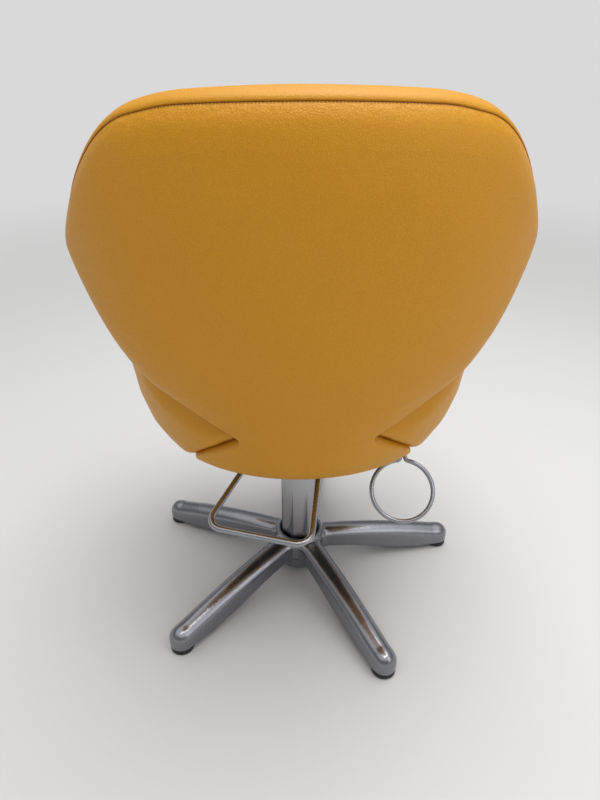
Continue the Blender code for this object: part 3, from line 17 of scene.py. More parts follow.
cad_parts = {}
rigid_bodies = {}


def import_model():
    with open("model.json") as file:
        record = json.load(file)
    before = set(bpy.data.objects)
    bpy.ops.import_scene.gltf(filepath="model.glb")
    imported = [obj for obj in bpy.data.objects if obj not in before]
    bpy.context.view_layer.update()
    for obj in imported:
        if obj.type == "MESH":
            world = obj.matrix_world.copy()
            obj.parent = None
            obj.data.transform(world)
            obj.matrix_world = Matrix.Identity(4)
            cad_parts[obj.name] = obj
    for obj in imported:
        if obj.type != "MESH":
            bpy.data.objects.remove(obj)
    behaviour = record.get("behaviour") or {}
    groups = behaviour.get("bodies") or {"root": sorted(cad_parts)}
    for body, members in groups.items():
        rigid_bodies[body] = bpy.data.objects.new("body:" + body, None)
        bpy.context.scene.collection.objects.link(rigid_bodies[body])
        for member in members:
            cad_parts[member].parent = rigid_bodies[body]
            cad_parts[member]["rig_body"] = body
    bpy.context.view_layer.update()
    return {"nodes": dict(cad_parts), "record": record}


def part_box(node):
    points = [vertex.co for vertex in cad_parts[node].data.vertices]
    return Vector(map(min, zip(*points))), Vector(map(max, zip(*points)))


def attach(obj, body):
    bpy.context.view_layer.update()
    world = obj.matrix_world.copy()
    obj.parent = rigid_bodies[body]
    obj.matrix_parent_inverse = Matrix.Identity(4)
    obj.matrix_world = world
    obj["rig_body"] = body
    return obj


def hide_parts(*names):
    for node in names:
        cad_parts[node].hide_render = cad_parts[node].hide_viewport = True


bl_info = {
    "name": "Salon chair finish",
    "version": (1, 0, 0),
    "blender": (4, 5, 0),
    "location": "3D View > Sidebar > Chair",
    "description": "Upholstery, seams, metal and stage for a hydraulic salon chair",
    "category": "Object",
}

for leftover in list(bpy.data.objects):
    bpy.data.objects.remove(leftover, do_unlink=True)
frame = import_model()

# Shield back, as the frame's pads have it: heights and reaches of the rear face
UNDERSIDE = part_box("seat_board")[0].z - 0.0163
TAIL_END = 0.105
TAIL_LIFT = 0.0015
TAIL_BEND = (0.155, 0.0045)
BACK_LINE = ((0.2165, 0.3613), (0.246, 0.425), (0.275, 0.530), (0.297, 0.650))
BACK_REACH = 0.309
BACK_REACH_HEIGHT = 0.760
BACK_TOP_LEAN = 0.001
BACK_TOP = 0.865
WRAP_HEIGHTS = (0.400, 0.580)
WRAP_LOW = (0.225, 0.190)
WRAP_HIGH = (0.335, 0.260)
WRAP_LIMIT = 0.03

# Shield edge: half width with run, with height, and with drop below the top
TAIL_HALF_WIDTH = 0.150
TAIL_BELLY = (0.168, 0.030)
TAIL_EDGE = ((0.172, 0.3588), (0.150, 0.3924))
BACK_TIP_HALF_WIDTH = 0.100
BACK_TIP_HEIGHT = 0.433
TIP_ROUND = 0.008
WING_LOW_EDGE = ((0.165, 0.473), (0.222, 0.504), (0.262, 0.553), (0.294, 0.612))
BACK_HALF_WIDTH = 0.3180
BACK_WIDE_HEIGHT = 0.688
WING_TOP_EDGE = ((0.295, 0.113), (0.254, 0.053), (0.210, 0.019), (0.150, 0.004))

# Pads of the back: depths square to the rear face and insets along it
REAR_PAD_DEPTH = 0.020
TAIL_PAD_DEPTH = 0.005
TAIL_THIN_RUN = 0.065
TAIL_FULL_HEIGHT = 0.420
REAR_FACE_INSET = 0.056
REAR_CREST_INSET = 0.032
REAR_HEM = 0.003
FACE_FULL_HEIGHT = 0.560
SEAM_INSET = 0.016
EDGE_SEAM_INSET = 0.003
SEAM_HEIGHTS = (0.480, 0.620)
SEAM_DEPTH = 0.012
SEAM_ROLL = 0.0016
SEAM_GAP = 0.0009
FRAME_INSET = 0.047
LINING_DEPTH = 0.0252
POCKET_DEPTH = 0.0381
FRONT_PAD_DEPTH = 0.078
FRONT_PAD_FOOT_DEPTH = 0.088
FRONT_PAD_FOOT_TOP = 0.580
BORDER_ROUND = 0.062
BORDER_LIP = 0.004
FOOT_ROUND = 0.019
FOOT_ROUND_TOP = 0.560
FOOT_FULLNESS = 0.017
FRONT_FOOT_HALF_WIDTH = 0.100
FRONT_FOOT_HEIGHT = 0.415
BORDER_TURNS = (0.0, 22.0, 44.0, 64.0, 90.0)
BORDER_SEAM = radians(58.0)

# Shares of a pad's depth or inset
CREST_DEPTH_SHARE = 0.15
HEM_DEPTH_SHARE = 0.9
SEAM_DEPTH_SHARE = 0.6
TAIL_FACE_SHARE = 0.2
REAR_SWELL_SHARE = 0.5
REAR_GATHERS = 2.0

# Arms, seat cushion and rail: mesh size, easing passes and how far stuffing may move the cover
ARM_MESH = 0.0044
ARM_PASSES = 10
ARM_SWELL = 0.0015
CUSHION_MESH = 0.005
CUSHION_PASSES = 14
CUSHION_SWELL = 0.004
RAIL_MESH = 0.003
RAIL_PASSES = 4
COVER_STIFFNESS = 30.0
COVER_BENDING = 2.0
STUFFING_FRAMES = 20

# How the arms and the rail meet their neighbours
RECESS_DEPTH = 0.014
RECESS_REACH = 0.055
RECESS_RUN_SHARE = 0.6
FLUSH_FULLNESS = 0.006
FLUSH_REACH = 0.040
RAIL_WIDENING = 1.085
RAIL_RISE = 0.018
RAIL_TUCK = 0.012
RAIL_FIXED_SHARE = 0.4

# Seams: groove in the cover, lift of the thread, and the points that the seam lines are seen from
GROOVE_DEPTH = 0.0030
GROOVE_WIDTH = 0.009
THREAD_LIFT = 0.3
CUSHION_EYE = Vector((0.0, -0.06, 0.437))
RIDGE_EYE = Vector((0.0, -0.04, 0.53))
RIDGE_TURNS = (-47.0, 20.0)
RIDGE_SHARE = 0.7

# Levers: bent rods in world metres
PEDAL_BEARING = radians(18.3)
PEDAL_AXIS = Vector((0.01256, 0.03798, 0.3135))
STIRRUP_RADIUS = 0.0050
STIRRUP_FOOT_HALF = 0.0513
STIRRUP_BAR = (0.084, 0.200, -0.047)
STIRRUP_BEND = 0.022
COLLAR_REACH = 0.0118
LOCK_PIVOT = Vector((-0.05143, 0.03090, 0.3070))
LOCK_HUB_REACH = 0.0089
RING_RADIUS = 0.051
RING_WIRE = 0.0037
RING_NECK = Vector((-0.1710, 0.0900, 0.3020))
RING_FALL = Vector((0.090, 0.670, -0.737)).normalized()
RING_SHANK = 0.020
RING_BEND = 0.012
RING_LEG_HALF = 0.0042
RING_NECK_FILLET = 0.006

# Metal edges
EDGE_ANGLE = radians(38.0)
SMOOTH_ANGLE = radians(50.0)
ROD_END_ANGLE = radians(60.0)

# Stage: floor, heights of the world's tones, and panels as (size, place, target)
FLOOR_RADIUS = 14.0
FLOOR_FADE = (1.6, 5.0)
WALL_RISE = (0.12, 0.35)
ROOF_RISE = (0.55, 0.80)
CEILING_PANEL = (1.6, Vector((-0.35, 0.05, 2.5)), Vector((0.0, 0.1, 0.4)))
SIDE_PANEL = (1.2, Vector((-1.6, 1.3, 1.5)), Vector((0.0, 0.0, 0.5)))

# Fineness
ACROSS = 40
EDGE_STEPS = 8
PROFILE_STEPS = 40
LAYER_STEPS = 3
SHOULDER_EASE = 5
WING_EASE = 9
SURFACE_STEP = 0.003
RIDGE_STEPS = 160
SEAM_STEPS = 480
RING_STEPS = 40
NECK_STEPS = 8
ROD_SIDES = 20
CAST_PASSES = 7


def linear(code):
    """Linear colour of an sRGB hex value."""
    parts = [int(code[index:index + 2], 16) / 255.0 for index in (1, 3, 5)]
    return tuple(part / 12.92 if part <= 0.04045 else ((part + 0.055) / 1.055) ** 2.4 for part in parts)


# Settings

class ChairUpholstery(bpy.types.PropertyGroup):
    """Colours and sizes of the vinyl covers and their seams."""

    vinyl: bpy.props.FloatVectorProperty(
        name="Vinyl", description="Colour of the covers", subtype="COLOR", default=linear("#CD8E14"))
    thread: bpy.props.FloatVectorProperty(
        name="Thread", description="Colour of the sewing thread", subtype="COLOR", default=linear("#5A3610"))
    grain: bpy.props.FloatProperty(
        name="Grain", description="Width of one embossed pebble", default=0.0026, unit="LENGTH")
    pitch: bpy.props.FloatProperty(
        name="Stitch pitch", description="Distance from stitch to stitch", default=0.0036, unit="LENGTH")
    stitch: bpy.props.FloatProperty(
        name="Stitch length", description="Length of one stitch", default=0.0029, unit="LENGTH")
    thread_radius: bpy.props.FloatProperty(
        name="Thread radius", description="Radius of the thread", default=0.0004, unit="LENGTH")
    pressure: bpy.props.FloatProperty(
        name="Stuffing", description="Pressure that swells the pads", default=4.0)
    swell: bpy.props.FloatProperty(
        name="Swell", description="How far a pad's face may swell", default=0.006, unit="LENGTH")


class ChairMetal(bpy.types.PropertyGroup):
    """Colours of the metal and the plastic pieces."""

    casting: bpy.props.FloatVectorProperty(
        name="Casting", description="Polished aluminium", subtype="COLOR", default=linear("#8A8B91"))
    tube: bpy.props.FloatVectorProperty(
        name="Column", description="Polished extrusion", subtype="COLOR", default=linear("#A6A6A8"))
    chrome: bpy.props.FloatVectorProperty(
        name="Rods", description="Plated rods", subtype="COLOR", default=linear("#9C9EA3"))
    steel: bpy.props.FloatVectorProperty(
        name="Steel", description="Zinc plated steel", subtype="COLOR", default=linear("#8F9092"))
    black: bpy.props.FloatVectorProperty(
        name="Plastic", description="Black moulded plastic", subtype="COLOR", default=linear("#171717"))
    wood: bpy.props.FloatVectorProperty(
        name="Plywood", description="Bare birch plywood", subtype="COLOR", default=linear("#C9A878"))
    voxel: bpy.props.FloatProperty(
        name="Casting mesh", description="Mesh size of the polished casting", default=0.0022, unit="LENGTH")
    edge: bpy.props.FloatProperty(
        name="Edge", description="Rounding of machined edges", default=0.0006, unit="LENGTH")


class ChairStage(bpy.types.PropertyGroup):
    """Floor, light and camera."""

    floor: bpy.props.FloatVectorProperty(
        name="Floor", description="Colour of the floor", subtype="COLOR", default=linear("#D1D1D0"))
    backdrop: bpy.props.FloatVectorProperty(
        name="Backdrop", description="Colour behind the chair", subtype="COLOR", default=linear("#D9D9D9"))
    ceiling: bpy.props.FloatProperty(
        name="Ceiling", description="Brightness of the ceiling overhead", default=1.2)
    shade: bpy.props.FloatProperty(
        name="Shade", description="Brightness of the room above the backdrop", default=0.3)
    lamp: bpy.props.FloatProperty(
        name="Lamp", description="Power of the ceiling panel", default=34.5, unit="POWER")
    fill: bpy.props.FloatProperty(
        name="Fill", description="Power of the side panel", default=6.0, unit="POWER")
    camera: bpy.props.FloatVectorProperty(
        name="Camera", description="Place of the camera", subtype="TRANSLATION",
        default=(0.041, 0.8965, 0.864))
    aim: bpy.props.FloatVectorProperty(
        name="Aim", description="Viewing direction", subtype="DIRECTION",
        default=(-0.0408, -0.8764, -0.4795))
    lens: bpy.props.FloatProperty(name="Lens", description="Focal length in mm", default=26.1)


# Small tools

def smoothstep(low, high, value):
    """Ease from 0 to 1 while value goes from low to high."""
    part = min(1.0, max(0.0, (value - low) / (high - low)))
    return part * part * (3.0 - 2.0 * part)


def mix(first, second, part):
    """Straight blend of two numbers or vectors."""
    return first + (second - first) * part


def spline(a, b, c, d, t):
    """Point between b and c of a smooth curve through four values."""
    return (b * 2 + (c - a) * t + (a * 2 - b * 5 + c * 4 - d) * t * t + (b * 3 - a - c * 3 + d) * t ** 3) / 2


def smooth_curve(points, steps):
    """Points of a smooth curve through the given ones, with steps to each span."""
    points = [Vector(point) for point in points]
    ends = [points[0] * 2 - points[1]] + points + [points[-1] * 2 - points[-2]]
    curve = []
    for a, b, c, d in zip(ends, ends[1:], ends[2:], ends[3:]):
        curve += [spline(a, b, c, d, step / steps) for step in range(steps)]
    return curve + [points[-1]]


def bearing_vector(bearing):
    """Level unit vector at a bearing from +Y toward +X."""
    return Vector((sin(bearing), cos(bearing), 0.0))


def rounded_path(corners, radius, steps=10):
    """Straight runs joined by round bends."""
    path = [corners[0]]
    for before, corner, after in zip(corners, corners[1:], corners[2:]):
        back = (before - corner).normalized()
        ahead = (after - corner).normalized()
        half = back.angle(ahead) / 2
        start = corner + back * radius / tan(half)
        centre = corner + (back + ahead).normalized() * radius / sin(half)
        arm = start - centre
        rest = corner + ahead * radius / tan(half) - centre
        axis = arm.cross(rest)
        for step in range(steps + 1):
            path.append(centre + Matrix.Rotation(arm.angle(rest) * step / steps, 3, axis) @ arm)
    return path + [corners[-1]]


def new_object(name, mesh):
    """Add a mesh to the scene as a piece at the origin."""
    piece = bpy.data.objects.new(name, mesh)
    bpy.context.scene.collection.objects.link(piece)
    return piece


def from_bmesh(name, bm):
    """Smooth piece from a bmesh, with its faces pointing out."""
    bmesh.ops.recalc_face_normals(bm, faces=bm.faces)
    mesh = bpy.data.meshes.new(name)
    bm.to_mesh(mesh)
    bm.free()
    mesh.shade_smooth()
    return new_object(name, mesh)


def settle(piece):
    """Turn a piece's live modifiers into plain mesh."""
    depsgraph = bpy.context.evaluated_depsgraph_get()
    mesh = bpy.data.meshes.new_from_object(piece.evaluated_get(depsgraph))
    piece.modifiers.clear()
    piece.data = mesh


def subdivide(piece):
    """One level of subdivision, the same in view and render."""
    change = piece.modifiers.new("fine", "SUBSURF")
    change.levels = 1
    change.render_levels = 1


def stand_for(piece, slot, surface, *nodes):
    """Put a finished piece in the place of its nodes, on their body."""
    body = frame["nodes"][nodes[0]]["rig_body"]
    piece.data.materials.clear()
    piece.data.materials.append(surface)
    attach(piece, body)
    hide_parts(*nodes)


# Materials

def add_node(tree, kind, inputs=(), **settings):
    """Add one node, set its options, and set or link its inputs."""
    item = tree.nodes.new(kind)
    for key, value in settings.items():
        setattr(item, key, value)
    for key, value in dict(inputs).items():
        if isinstance(value, bpy.types.NodeSocket):
            tree.links.new(value, item.inputs[key])
        else:
            item.inputs[key].default_value = value
    return item


def new_material(name):
    """Node material, its shader and its object coordinates; without the tree if it was made before."""
    surface = bpy.data.materials.get(name)
    if surface:
        return surface, None, None, None
    surface = bpy.data.materials.new(name)
    surface.use_nodes = True
    tree = surface.node_tree
    place = add_node(tree, "ShaderNodeTexCoord").outputs["Object"]
    return surface, tree, tree.nodes["Principled BSDF"], place


def paint(tree, shader, colour, spread, factor):
    """Colour a shader from a darker to a lighter shade by a factor."""
    dark, light = ((*(part * share for part in colour), 1.0) for share in (1.0 - spread, 1.0 + spread))
    tone = add_node(tree, "ShaderNodeMix", {"Factor": factor, 6: dark, 7: light}, data_type="RGBA")
    tree.links.new(tone.outputs[2], shader.inputs["Base Color"])
    return tone.outputs[2]


def roughen(tree, shader, gloss, bump):
    """Give a shader its roughness and its bump."""
    tree.links.new(gloss.outputs[0], shader.inputs["Roughness"])
    tree.links.new(bump.outputs[0], shader.inputs["Normal"])


def vinyl_material():
    """Calendered PVC upholstery vinyl with an embossed pebble grain: satin, even colour, soft highlights."""
    surface, tree, shader, place = new_material("upholstery_vinyl_pebble_grain")
    if tree is None:
        return surface
    settings = bpy.context.scene.chair_upholstery
    # Cells are bent by noise so that the pebbles are not a plain honeycomb
    bend = add_node(tree, "ShaderNodeTexNoise", {
        "Vector": place, "Scale": 0.5 / settings.grain, "Detail": 2.0})
    offset = add_node(tree, "ShaderNodeVectorMath", {
        0: bend.outputs["Color"], 1: (0.5, 0.5, 0.5)}, operation="SUBTRACT")
    moved = add_node(tree, "ShaderNodeVectorMath", {
        0: offset.outputs[0], "Scale": settings.grain * 0.9}, operation="SCALE")
    warped = add_node(tree, "ShaderNodeVectorMath", {0: place, 1: moved.outputs[0]}, operation="ADD")
    cells = add_node(tree, "ShaderNodeTexVoronoi", {
        "Vector": warped.outputs[0], "Scale": 1.0 / settings.grain}, feature="DISTANCE_TO_EDGE")
    pebble = add_node(tree, "ShaderNodeMapRange", {
        "Value": cells.outputs["Distance"], "From Max": 0.28}, interpolation_type="SMOOTHSTEP")
    pores = add_node(tree, "ShaderNodeTexNoise", {
        "Vector": place, "Scale": 2.2 / settings.grain, "Detail": 3.0})
    height = add_node(tree, "ShaderNodeMath", {
        0: pores.outputs["Fac"], 1: 0.6, 2: pebble.outputs[0]}, operation="MULTIPLY_ADD")
    grain = add_node(tree, "ShaderNodeBump", {
        "Height": height.outputs[0], "Strength": 0.28, "Distance": 0.0006})
    # Short creases, 8 mm apart, where the cover is gathered at a seam
    gather = add_node(tree, "ShaderNodeAttribute", attribute_name="gather").outputs["Fac"]
    crease = add_node(tree, "ShaderNodeTexNoise", {
        "Vector": warped.outputs[0], "Scale": 125.0, "Detail": 2.0})
    fold = add_node(tree, "ShaderNodeMath", {0: crease.outputs["Fac"], 1: gather}, operation="MULTIPLY")
    bump = add_node(tree, "ShaderNodeBump", {
        "Height": fold.outputs[0], "Strength": 0.3, "Distance": 0.003, "Normal": grain.outputs[0]})
    # Slow drift of tone over 200 mm, and painted shade in the hollows between the grain's pebbles
    drift = add_node(tree, "ShaderNodeTexNoise", {
        "Vector": place, "Scale": 5.0, "Detail": 3.0, "Roughness": 0.6}).outputs["Fac"]
    tone = paint(tree, shader, settings.vinyl, 0.07, drift)
    # Painted shade: the hollows between pebbles are drawn up to 10% darker
    painted_grain_shade = add_node(tree, "ShaderNodeMapRange", {
        "Value": pebble.outputs[0], "To Min": 0.9, "To Max": 1.0})
    shaded = add_node(tree, "ShaderNodeMix", {
        "Factor": 1.0, 6: tone, 7: painted_grain_shade.outputs[0]}, data_type="RGBA", blend_type="MULTIPLY")
    tree.links.new(shaded.outputs[2], shader.inputs["Base Color"])
    gloss = add_node(tree, "ShaderNodeMapRange", {"Value": drift, "To Min": 0.40, "To Max": 0.50})
    roughen(tree, shader, gloss, bump)
    shader.inputs["Specular IOR Level"].default_value = 0.3
    return surface


def thread_material():
    """Bonded polyester thread: dull, dark brown, with its twist as marks about 1 mm long."""
    surface, tree, shader, place = new_material("bonded_polyester_thread")
    if tree:
        twist = add_node(tree, "ShaderNodeTexNoise", {"Vector": place, "Scale": 900.0})
        paint(tree, shader, bpy.context.scene.chair_upholstery.thread, 0.3, twist.outputs["Fac"])
        shader.inputs["Roughness"].default_value = 0.65
    return surface


# Metals: colour setting, roughness, finishing marks per metre and the marks' stretch
METALS = {
    # Gravity-cast aluminium, polished by hand: bright, with soft uneven buffing in 6 mm marks
    "polished_cast_aluminium": ("casting", 0.25, 160.0, (1, 1, 1)),
    # Extruded aluminium tube, polished along its length: 1 mm lines that draw tall, narrow reflections
    "polished_extruded_aluminium": ("tube", 0.20, 60.0, (14, 14, 1)),
    # Steel rod with nickel-chrome plate, dulled by handling: soft reflections, 5 mm marks
    "chrome_plated_rod": ("chrome", 0.26, 200.0, (1, 1, 1)),
    # Zinc-plated steel: grey, half matt, with 4 mm spangle
    "zinc_plated_steel": ("steel", 0.36, 240.0, (1, 1, 1)),
}


def metal_material(name):
    """Bare or plated metal: finishing marks and 36 mm clouds, seen in the width of its highlights."""
    surface, tree, shader, place = new_material(name)
    if tree is None:
        return surface
    colour, rough, marks, stretch = METALS[name]
    laid = add_node(tree, "ShaderNodeMapping", {"Vector": place, "Scale": stretch})
    lines = add_node(tree, "ShaderNodeTexNoise", {
        "Vector": laid.outputs[0], "Scale": marks, "Detail": 4.0}).outputs["Fac"]
    clouds = add_node(tree, "ShaderNodeTexNoise", {
        "Vector": place, "Scale": 28.0, "Detail": 3.0}).outputs["Fac"]
    paint(tree, shader, getattr(bpy.context.scene.chair_metal, colour), 0.06, clouds)
    both = add_node(tree, "ShaderNodeMath", {0: lines, 1: clouds}, operation="ADD")
    gloss = add_node(tree, "ShaderNodeMapRange", {
        "Value": both.outputs[0], "From Min": 0.6, "From Max": 1.4,
        "To Min": rough * 0.85, "To Max": rough * 1.15})
    bump = add_node(tree, "ShaderNodeBump", {"Height": lines, "Strength": 0.012, "Distance": 0.0002})
    roughen(tree, shader, gloss, bump)
    shader.inputs["Metallic"].default_value = 1.0
    return surface


def plastic_material():
    """Moulded black polypropylene: fine spark-eroded grain under 1 mm, 17 mm scuffs, dull shine."""
    surface, tree, shader, place = new_material("moulded_black_polypropylene")
    if tree is None:
        return surface
    grit = add_node(tree, "ShaderNodeTexNoise", {"Vector": place, "Scale": 1400.0, "Detail": 2.0})
    scuff = add_node(tree, "ShaderNodeTexNoise", {
        "Vector": place, "Scale": 60.0, "Detail": 4.0}).outputs["Fac"]
    paint(tree, shader, bpy.context.scene.chair_metal.black, 0.35, scuff)
    gloss = add_node(tree, "ShaderNodeMapRange", {"Value": scuff, "To Min": 0.42, "To Max": 0.62})
    bump = add_node(tree, "ShaderNodeBump", {
        "Height": grit.outputs["Fac"], "Strength": 0.15, "Distance": 0.0003})
    roughen(tree, shader, gloss, bump)
    return surface


def plywood_material():
    """Birch plywood, sanded: pale, with long streaks of grain about 9 mm wide."""
    surface, tree, shader, place = new_material("bare_birch_plywood")
    if tree:
        laid = add_node(tree, "ShaderNodeMapping", {"Vector": place, "Scale": (1.0, 12.0, 12.0)})
        streak = add_node(tree, "ShaderNodeTexNoise", {
            "Vector": laid.outputs[0], "Scale": 9.0, "Detail": 5.0})
        paint(tree, shader, bpy.context.scene.chair_metal.wood, 0.18, streak.outputs["Fac"])
        shader.inputs["Roughness"].default_value = 0.7
    return surface


# Shield surface

def back_profile():
    """Centre line of the back's rear face, from under the seat up to the top edge."""
    points = ((TAIL_END, UNDERSIDE + TAIL_LIFT), (TAIL_BEND[0], UNDERSIDE + TAIL_BEND[1]), *BACK_LINE,
              (BACK_REACH, BACK_REACH_HEIGHT), (BACK_REACH - BACK_TOP_LEAN, BACK_TOP))
    return np.array([tuple(point) for point in smooth_curve(points, PROFILE_STEPS)])


PROFILE = back_profile()
PROFILE_RUN = np.concatenate(([0.0], np.cumsum(np.hypot(*np.diff(PROFILE, axis=0).T))))


def profile_at(run):
    """Reach and height of the centre line after a run along it."""
    over = max(0.0, run - PROFILE_RUN[-1])
    under = min(0.0, run)
    reach = float(np.interp(run, PROFILE_RUN, PROFILE[:, 0]))
    height = float(np.interp(run, PROFILE_RUN, PROFILE[:, 1]))
    return reach + under, height + over


def run_at_height(height):
    """Run along the centre line up to a height."""
    return float(np.interp(height, PROFILE[:, 1], PROFILE_RUN))


def rear_face(x, run):
    """Point on the back's rear face."""
    reach, height = profile_at(run)
    part = smoothstep(*WRAP_HEIGHTS, height)
    wide = mix(WRAP_LOW[0], WRAP_HIGH[0], part)
    deep = mix(WRAP_LOW[1], WRAP_HIGH[1], part)
    flat = sqrt(max(WRAP_LIMIT, 1.0 - (x / wide) ** 2))
    return Vector((x, reach - deep * (1.0 - flat), height))


def shell_point(x, run, depth):
    """Point inside the back, at a depth square to its rear face."""
    across = rear_face(x + SURFACE_STEP, run) - rear_face(x - SURFACE_STEP, run)
    along = rear_face(x, run + SURFACE_STEP) - rear_face(x, run - SURFACE_STEP)
    return rear_face(x, run) + across.cross(along).normalized() * depth


def side_scale(x, run):
    """Width in plan for each unit of length round the wrap."""
    span = rear_face(x + SURFACE_STEP, run) - rear_face(x - SURFACE_STEP, run)
    return 2 * SURFACE_STEP / span.length


def rear_pad_depth(run):
    """Thickness of the rear pad, thin where its tail goes under the seat."""
    part = smoothstep(TAIL_THIN_RUN, run_at_height(TAIL_FULL_HEIGHT), run)
    return mix(TAIL_PAD_DEPTH, REAR_PAD_DEPTH, part)


def front_depth(run):
    """Depth of the back's front face, deeper where it goes down behind the seat."""
    part = smoothstep(BACK_TIP_HEIGHT, FRONT_PAD_FOOT_TOP, profile_at(run)[1])
    return mix(FRONT_PAD_FOOT_DEPTH, FRONT_PAD_DEPTH, part)


# Shield outlines, as (half width, run) points from the bottom up

def wing_side():
    """Edge of the shield from its waist tip up to the top corner."""
    points = [(BACK_TIP_HALF_WIDTH + TIP_ROUND, BACK_TIP_HEIGHT + TIP_ROUND), *WING_LOW_EDGE,
              (BACK_HALF_WIDTH, BACK_WIDE_HEIGHT)]
    points += [(half, BACK_TOP - drop) for half, drop in WING_TOP_EDGE]
    return [(half, run_at_height(height)) for half, height in points]


def tail_side():
    """Edge of the tail from its end under the seat up to the waist."""
    points = [*TAIL_EDGE, (BACK_TIP_HALF_WIDTH + TIP_ROUND, BACK_TIP_HEIGHT - TIP_ROUND),
              (BACK_TIP_HALF_WIDTH, BACK_TIP_HEIGHT)]
    low = [(TAIL_HALF_WIDTH, 0.0), TAIL_BELLY]
    return low + [(half, run_at_height(height)) for half, height in points]


def closed_outline(side):
    """Loop from a right-hand edge: bottom, right, top, left."""
    right = [tuple(point) for point in smooth_curve(side, EDGE_STEPS)]
    low = right[0]
    high = right[-1]
    crest = run_at_height(BACK_TOP)
    parts = [index / ACROSS for index in range(ACROSS)]
    bottom = [(mix(-low[0], low[0], part), low[1]) for part in parts]
    top = [(mix(high[0], -high[0], part), mix(high[1], crest, 1.0 - (2 * part - 1) ** 2)) for part in parts]
    left = [(-x, run) for x, run in reversed(right)]
    loop = [Vector(point) for point in bottom + right[:-1] + top + left[:-1]]
    shoulder = len(bottom) + len(right) - 1
    widest = len(bottom) + max(range(len(right)), key=lambda index: right[index][0])
    mirror = 2 * shoulder + ACROSS
    for spot, reach in ((shoulder, SHOULDER_EASE), (widest, WING_EASE)):
        for middle in (spot, mirror - spot):
            ease(loop, middle, reach)
    return [tuple(point) for point in loop]


def ease(loop, middle, reach):
    """Round a loop's corner by passes that take in points on both sides."""
    for _ in range(reach):
        for index in range(middle - reach, middle + reach + 1):
            loop[index] = mix(loop[index], (loop[index - 1] + loop[index + 1]) / 2, 0.5)


def inset_outline(loop, distance):
    """Loop drawn in by a distance measured on the surface."""
    count = len(loop)
    result = []
    for index, (x, run) in enumerate(loop):
        tangent = (Vector(loop[(index + 1) % count]) - Vector(loop[index - 1])).normalized()
        inset = distance(run)
        result.append((x - tangent.y * inset * side_scale(x, run), run + tangent.x * inset))
    return result


def steady(value):
    """Inset or depth that is the same all round."""
    return lambda run: value


def seam_inset(share, extra):
    """Inset in step with the rear seam, which goes out to the edge on the lower wings."""
    def inset(run):
        part = smoothstep(*SEAM_HEIGHTS, profile_at(run)[1])
        return mix(EDGE_SEAM_INSET, SEAM_INSET, part) * share + extra
    return inset


def face_inset(full):
    """Inset of the rear face's rounding, narrow along the tail and full on the wings."""
    low = run_at_height(BACK_TIP_HEIGHT)
    high = run_at_height(FACE_FULL_HEIGHT)
    return lambda run: mix(full * TAIL_FACE_SHARE, full, smoothstep(low, high, run))


def seam_depth(run):
    """Depth of the rear panel's sewn edge."""
    return min(SEAM_DEPTH, rear_pad_depth(run) * SEAM_DEPTH_SHARE)


def border_inset(share):
    """Inset of the border's rounding: tight along the foot, and full enough there to meet the arms."""
    low = run_at_height(BACK_TIP_HEIGHT)
    high = run_at_height(FOOT_ROUND_TOP)
    foot = FOOT_ROUND * share - FOOT_FULLNESS
    return lambda run: mix(foot, BORDER_ROUND * share, smoothstep(low, high, run))


def between(keys, steps):
    """Finer layers on a smooth curve through key layers of (inset, depth, hold)."""
    ends = [keys[0]] + list(keys) + [keys[-1]]
    layers = []
    for a, b, c, d in zip(ends, ends[1:], ends[2:], ends[3:]):
        for step in range(steps):
            t = step / steps

            def inset(run, span=(a, b, c, d), t=t):
                return spline(*(key[0](run) for key in span), t)

            def depth(run, span=(a, b, c, d), t=t):
                return spline(*(key[1](run) for key in span), t)

            layers.append((inset, depth, mix(b[2], c[2], t)))
    return layers + [keys[-1]]


def layered_pad(name, loop, layers, gathers=0.0):
    """Closed pad through a stack of layers of one outline, with a group of the points that sewing holds."""
    bm = bmesh.new()
    holds = []
    rings = []
    for inset, depth, hold in layers:
        points = inset_outline(loop, inset)
        rings.append((points, [bm.verts.new(shell_point(x, run, depth(run))) for x, run in points]))
        holds += [hold] * len(points)
    for (_, first), (_, second) in zip(rings, rings[1:]):
        for index in range(len(first)):
            after = (index + 1) % len(first)
            bm.faces.new((first[index], first[after], second[after], second[index]))
    for (points, verts), (_, depth, hold) in ((rings[0], layers[0]), (rings[-1], layers[-1])):
        holds += [hold] * fill_patch(bm, points, verts, depth)
    piece = from_bmesh(name, bm)
    group = piece.vertex_groups.new(name="held")
    for index, hold in enumerate(holds):
        group.add([index], hold, "REPLACE")
    gather = piece.data.attributes.new("gather", "FLOAT", "POINT")
    gather.data.foreach_set("value", [gathers * hold for hold in holds])
    return piece


def fill_patch(bm, points, verts, depth):
    """Grid of quads inside one ring, following the curved surface; gives the count of new points."""
    count = len(points)
    tall = count // 2 - ACROSS
    corner = (0, ACROSS, ACROSS + tall, 2 * ACROSS + tall)
    flat = [Vector(point) for point in points]
    made = 0

    def spot(column, row):
        s = column / ACROSS
        t = row / tall
        ends = mix(flat[column], flat[corner[2] + ACROSS - column], t)
        sides = mix(flat[(count - row) % count], flat[corner[1] + row], s)
        corners = mix(mix(flat[0], flat[corner[1]], s), mix(flat[corner[3]], flat[corner[2]], s), t)
        return ends + sides - corners

    grid = []
    for row in range(tall + 1):
        line = []
        for column in range(ACROSS + 1):
            if row == 0:
                line.append(verts[column])
            elif row == tall:
                line.append(verts[corner[2] + ACROSS - column])
            elif column == 0:
                line.append(verts[count - row])
            elif column == ACROSS:
                line.append(verts[corner[1] + row])
            else:
                x, run = spot(column, row)
                line.append(bm.verts.new(shell_point(x, run, depth(run))))
                made += 1
        grid.append(line)
    for low, high in zip(grid, grid[1:]):
        for column in range(ACROSS):
            bm.faces.new((low[column], low[column + 1], high[column + 1], high[column]))
    return made


# Stuffing

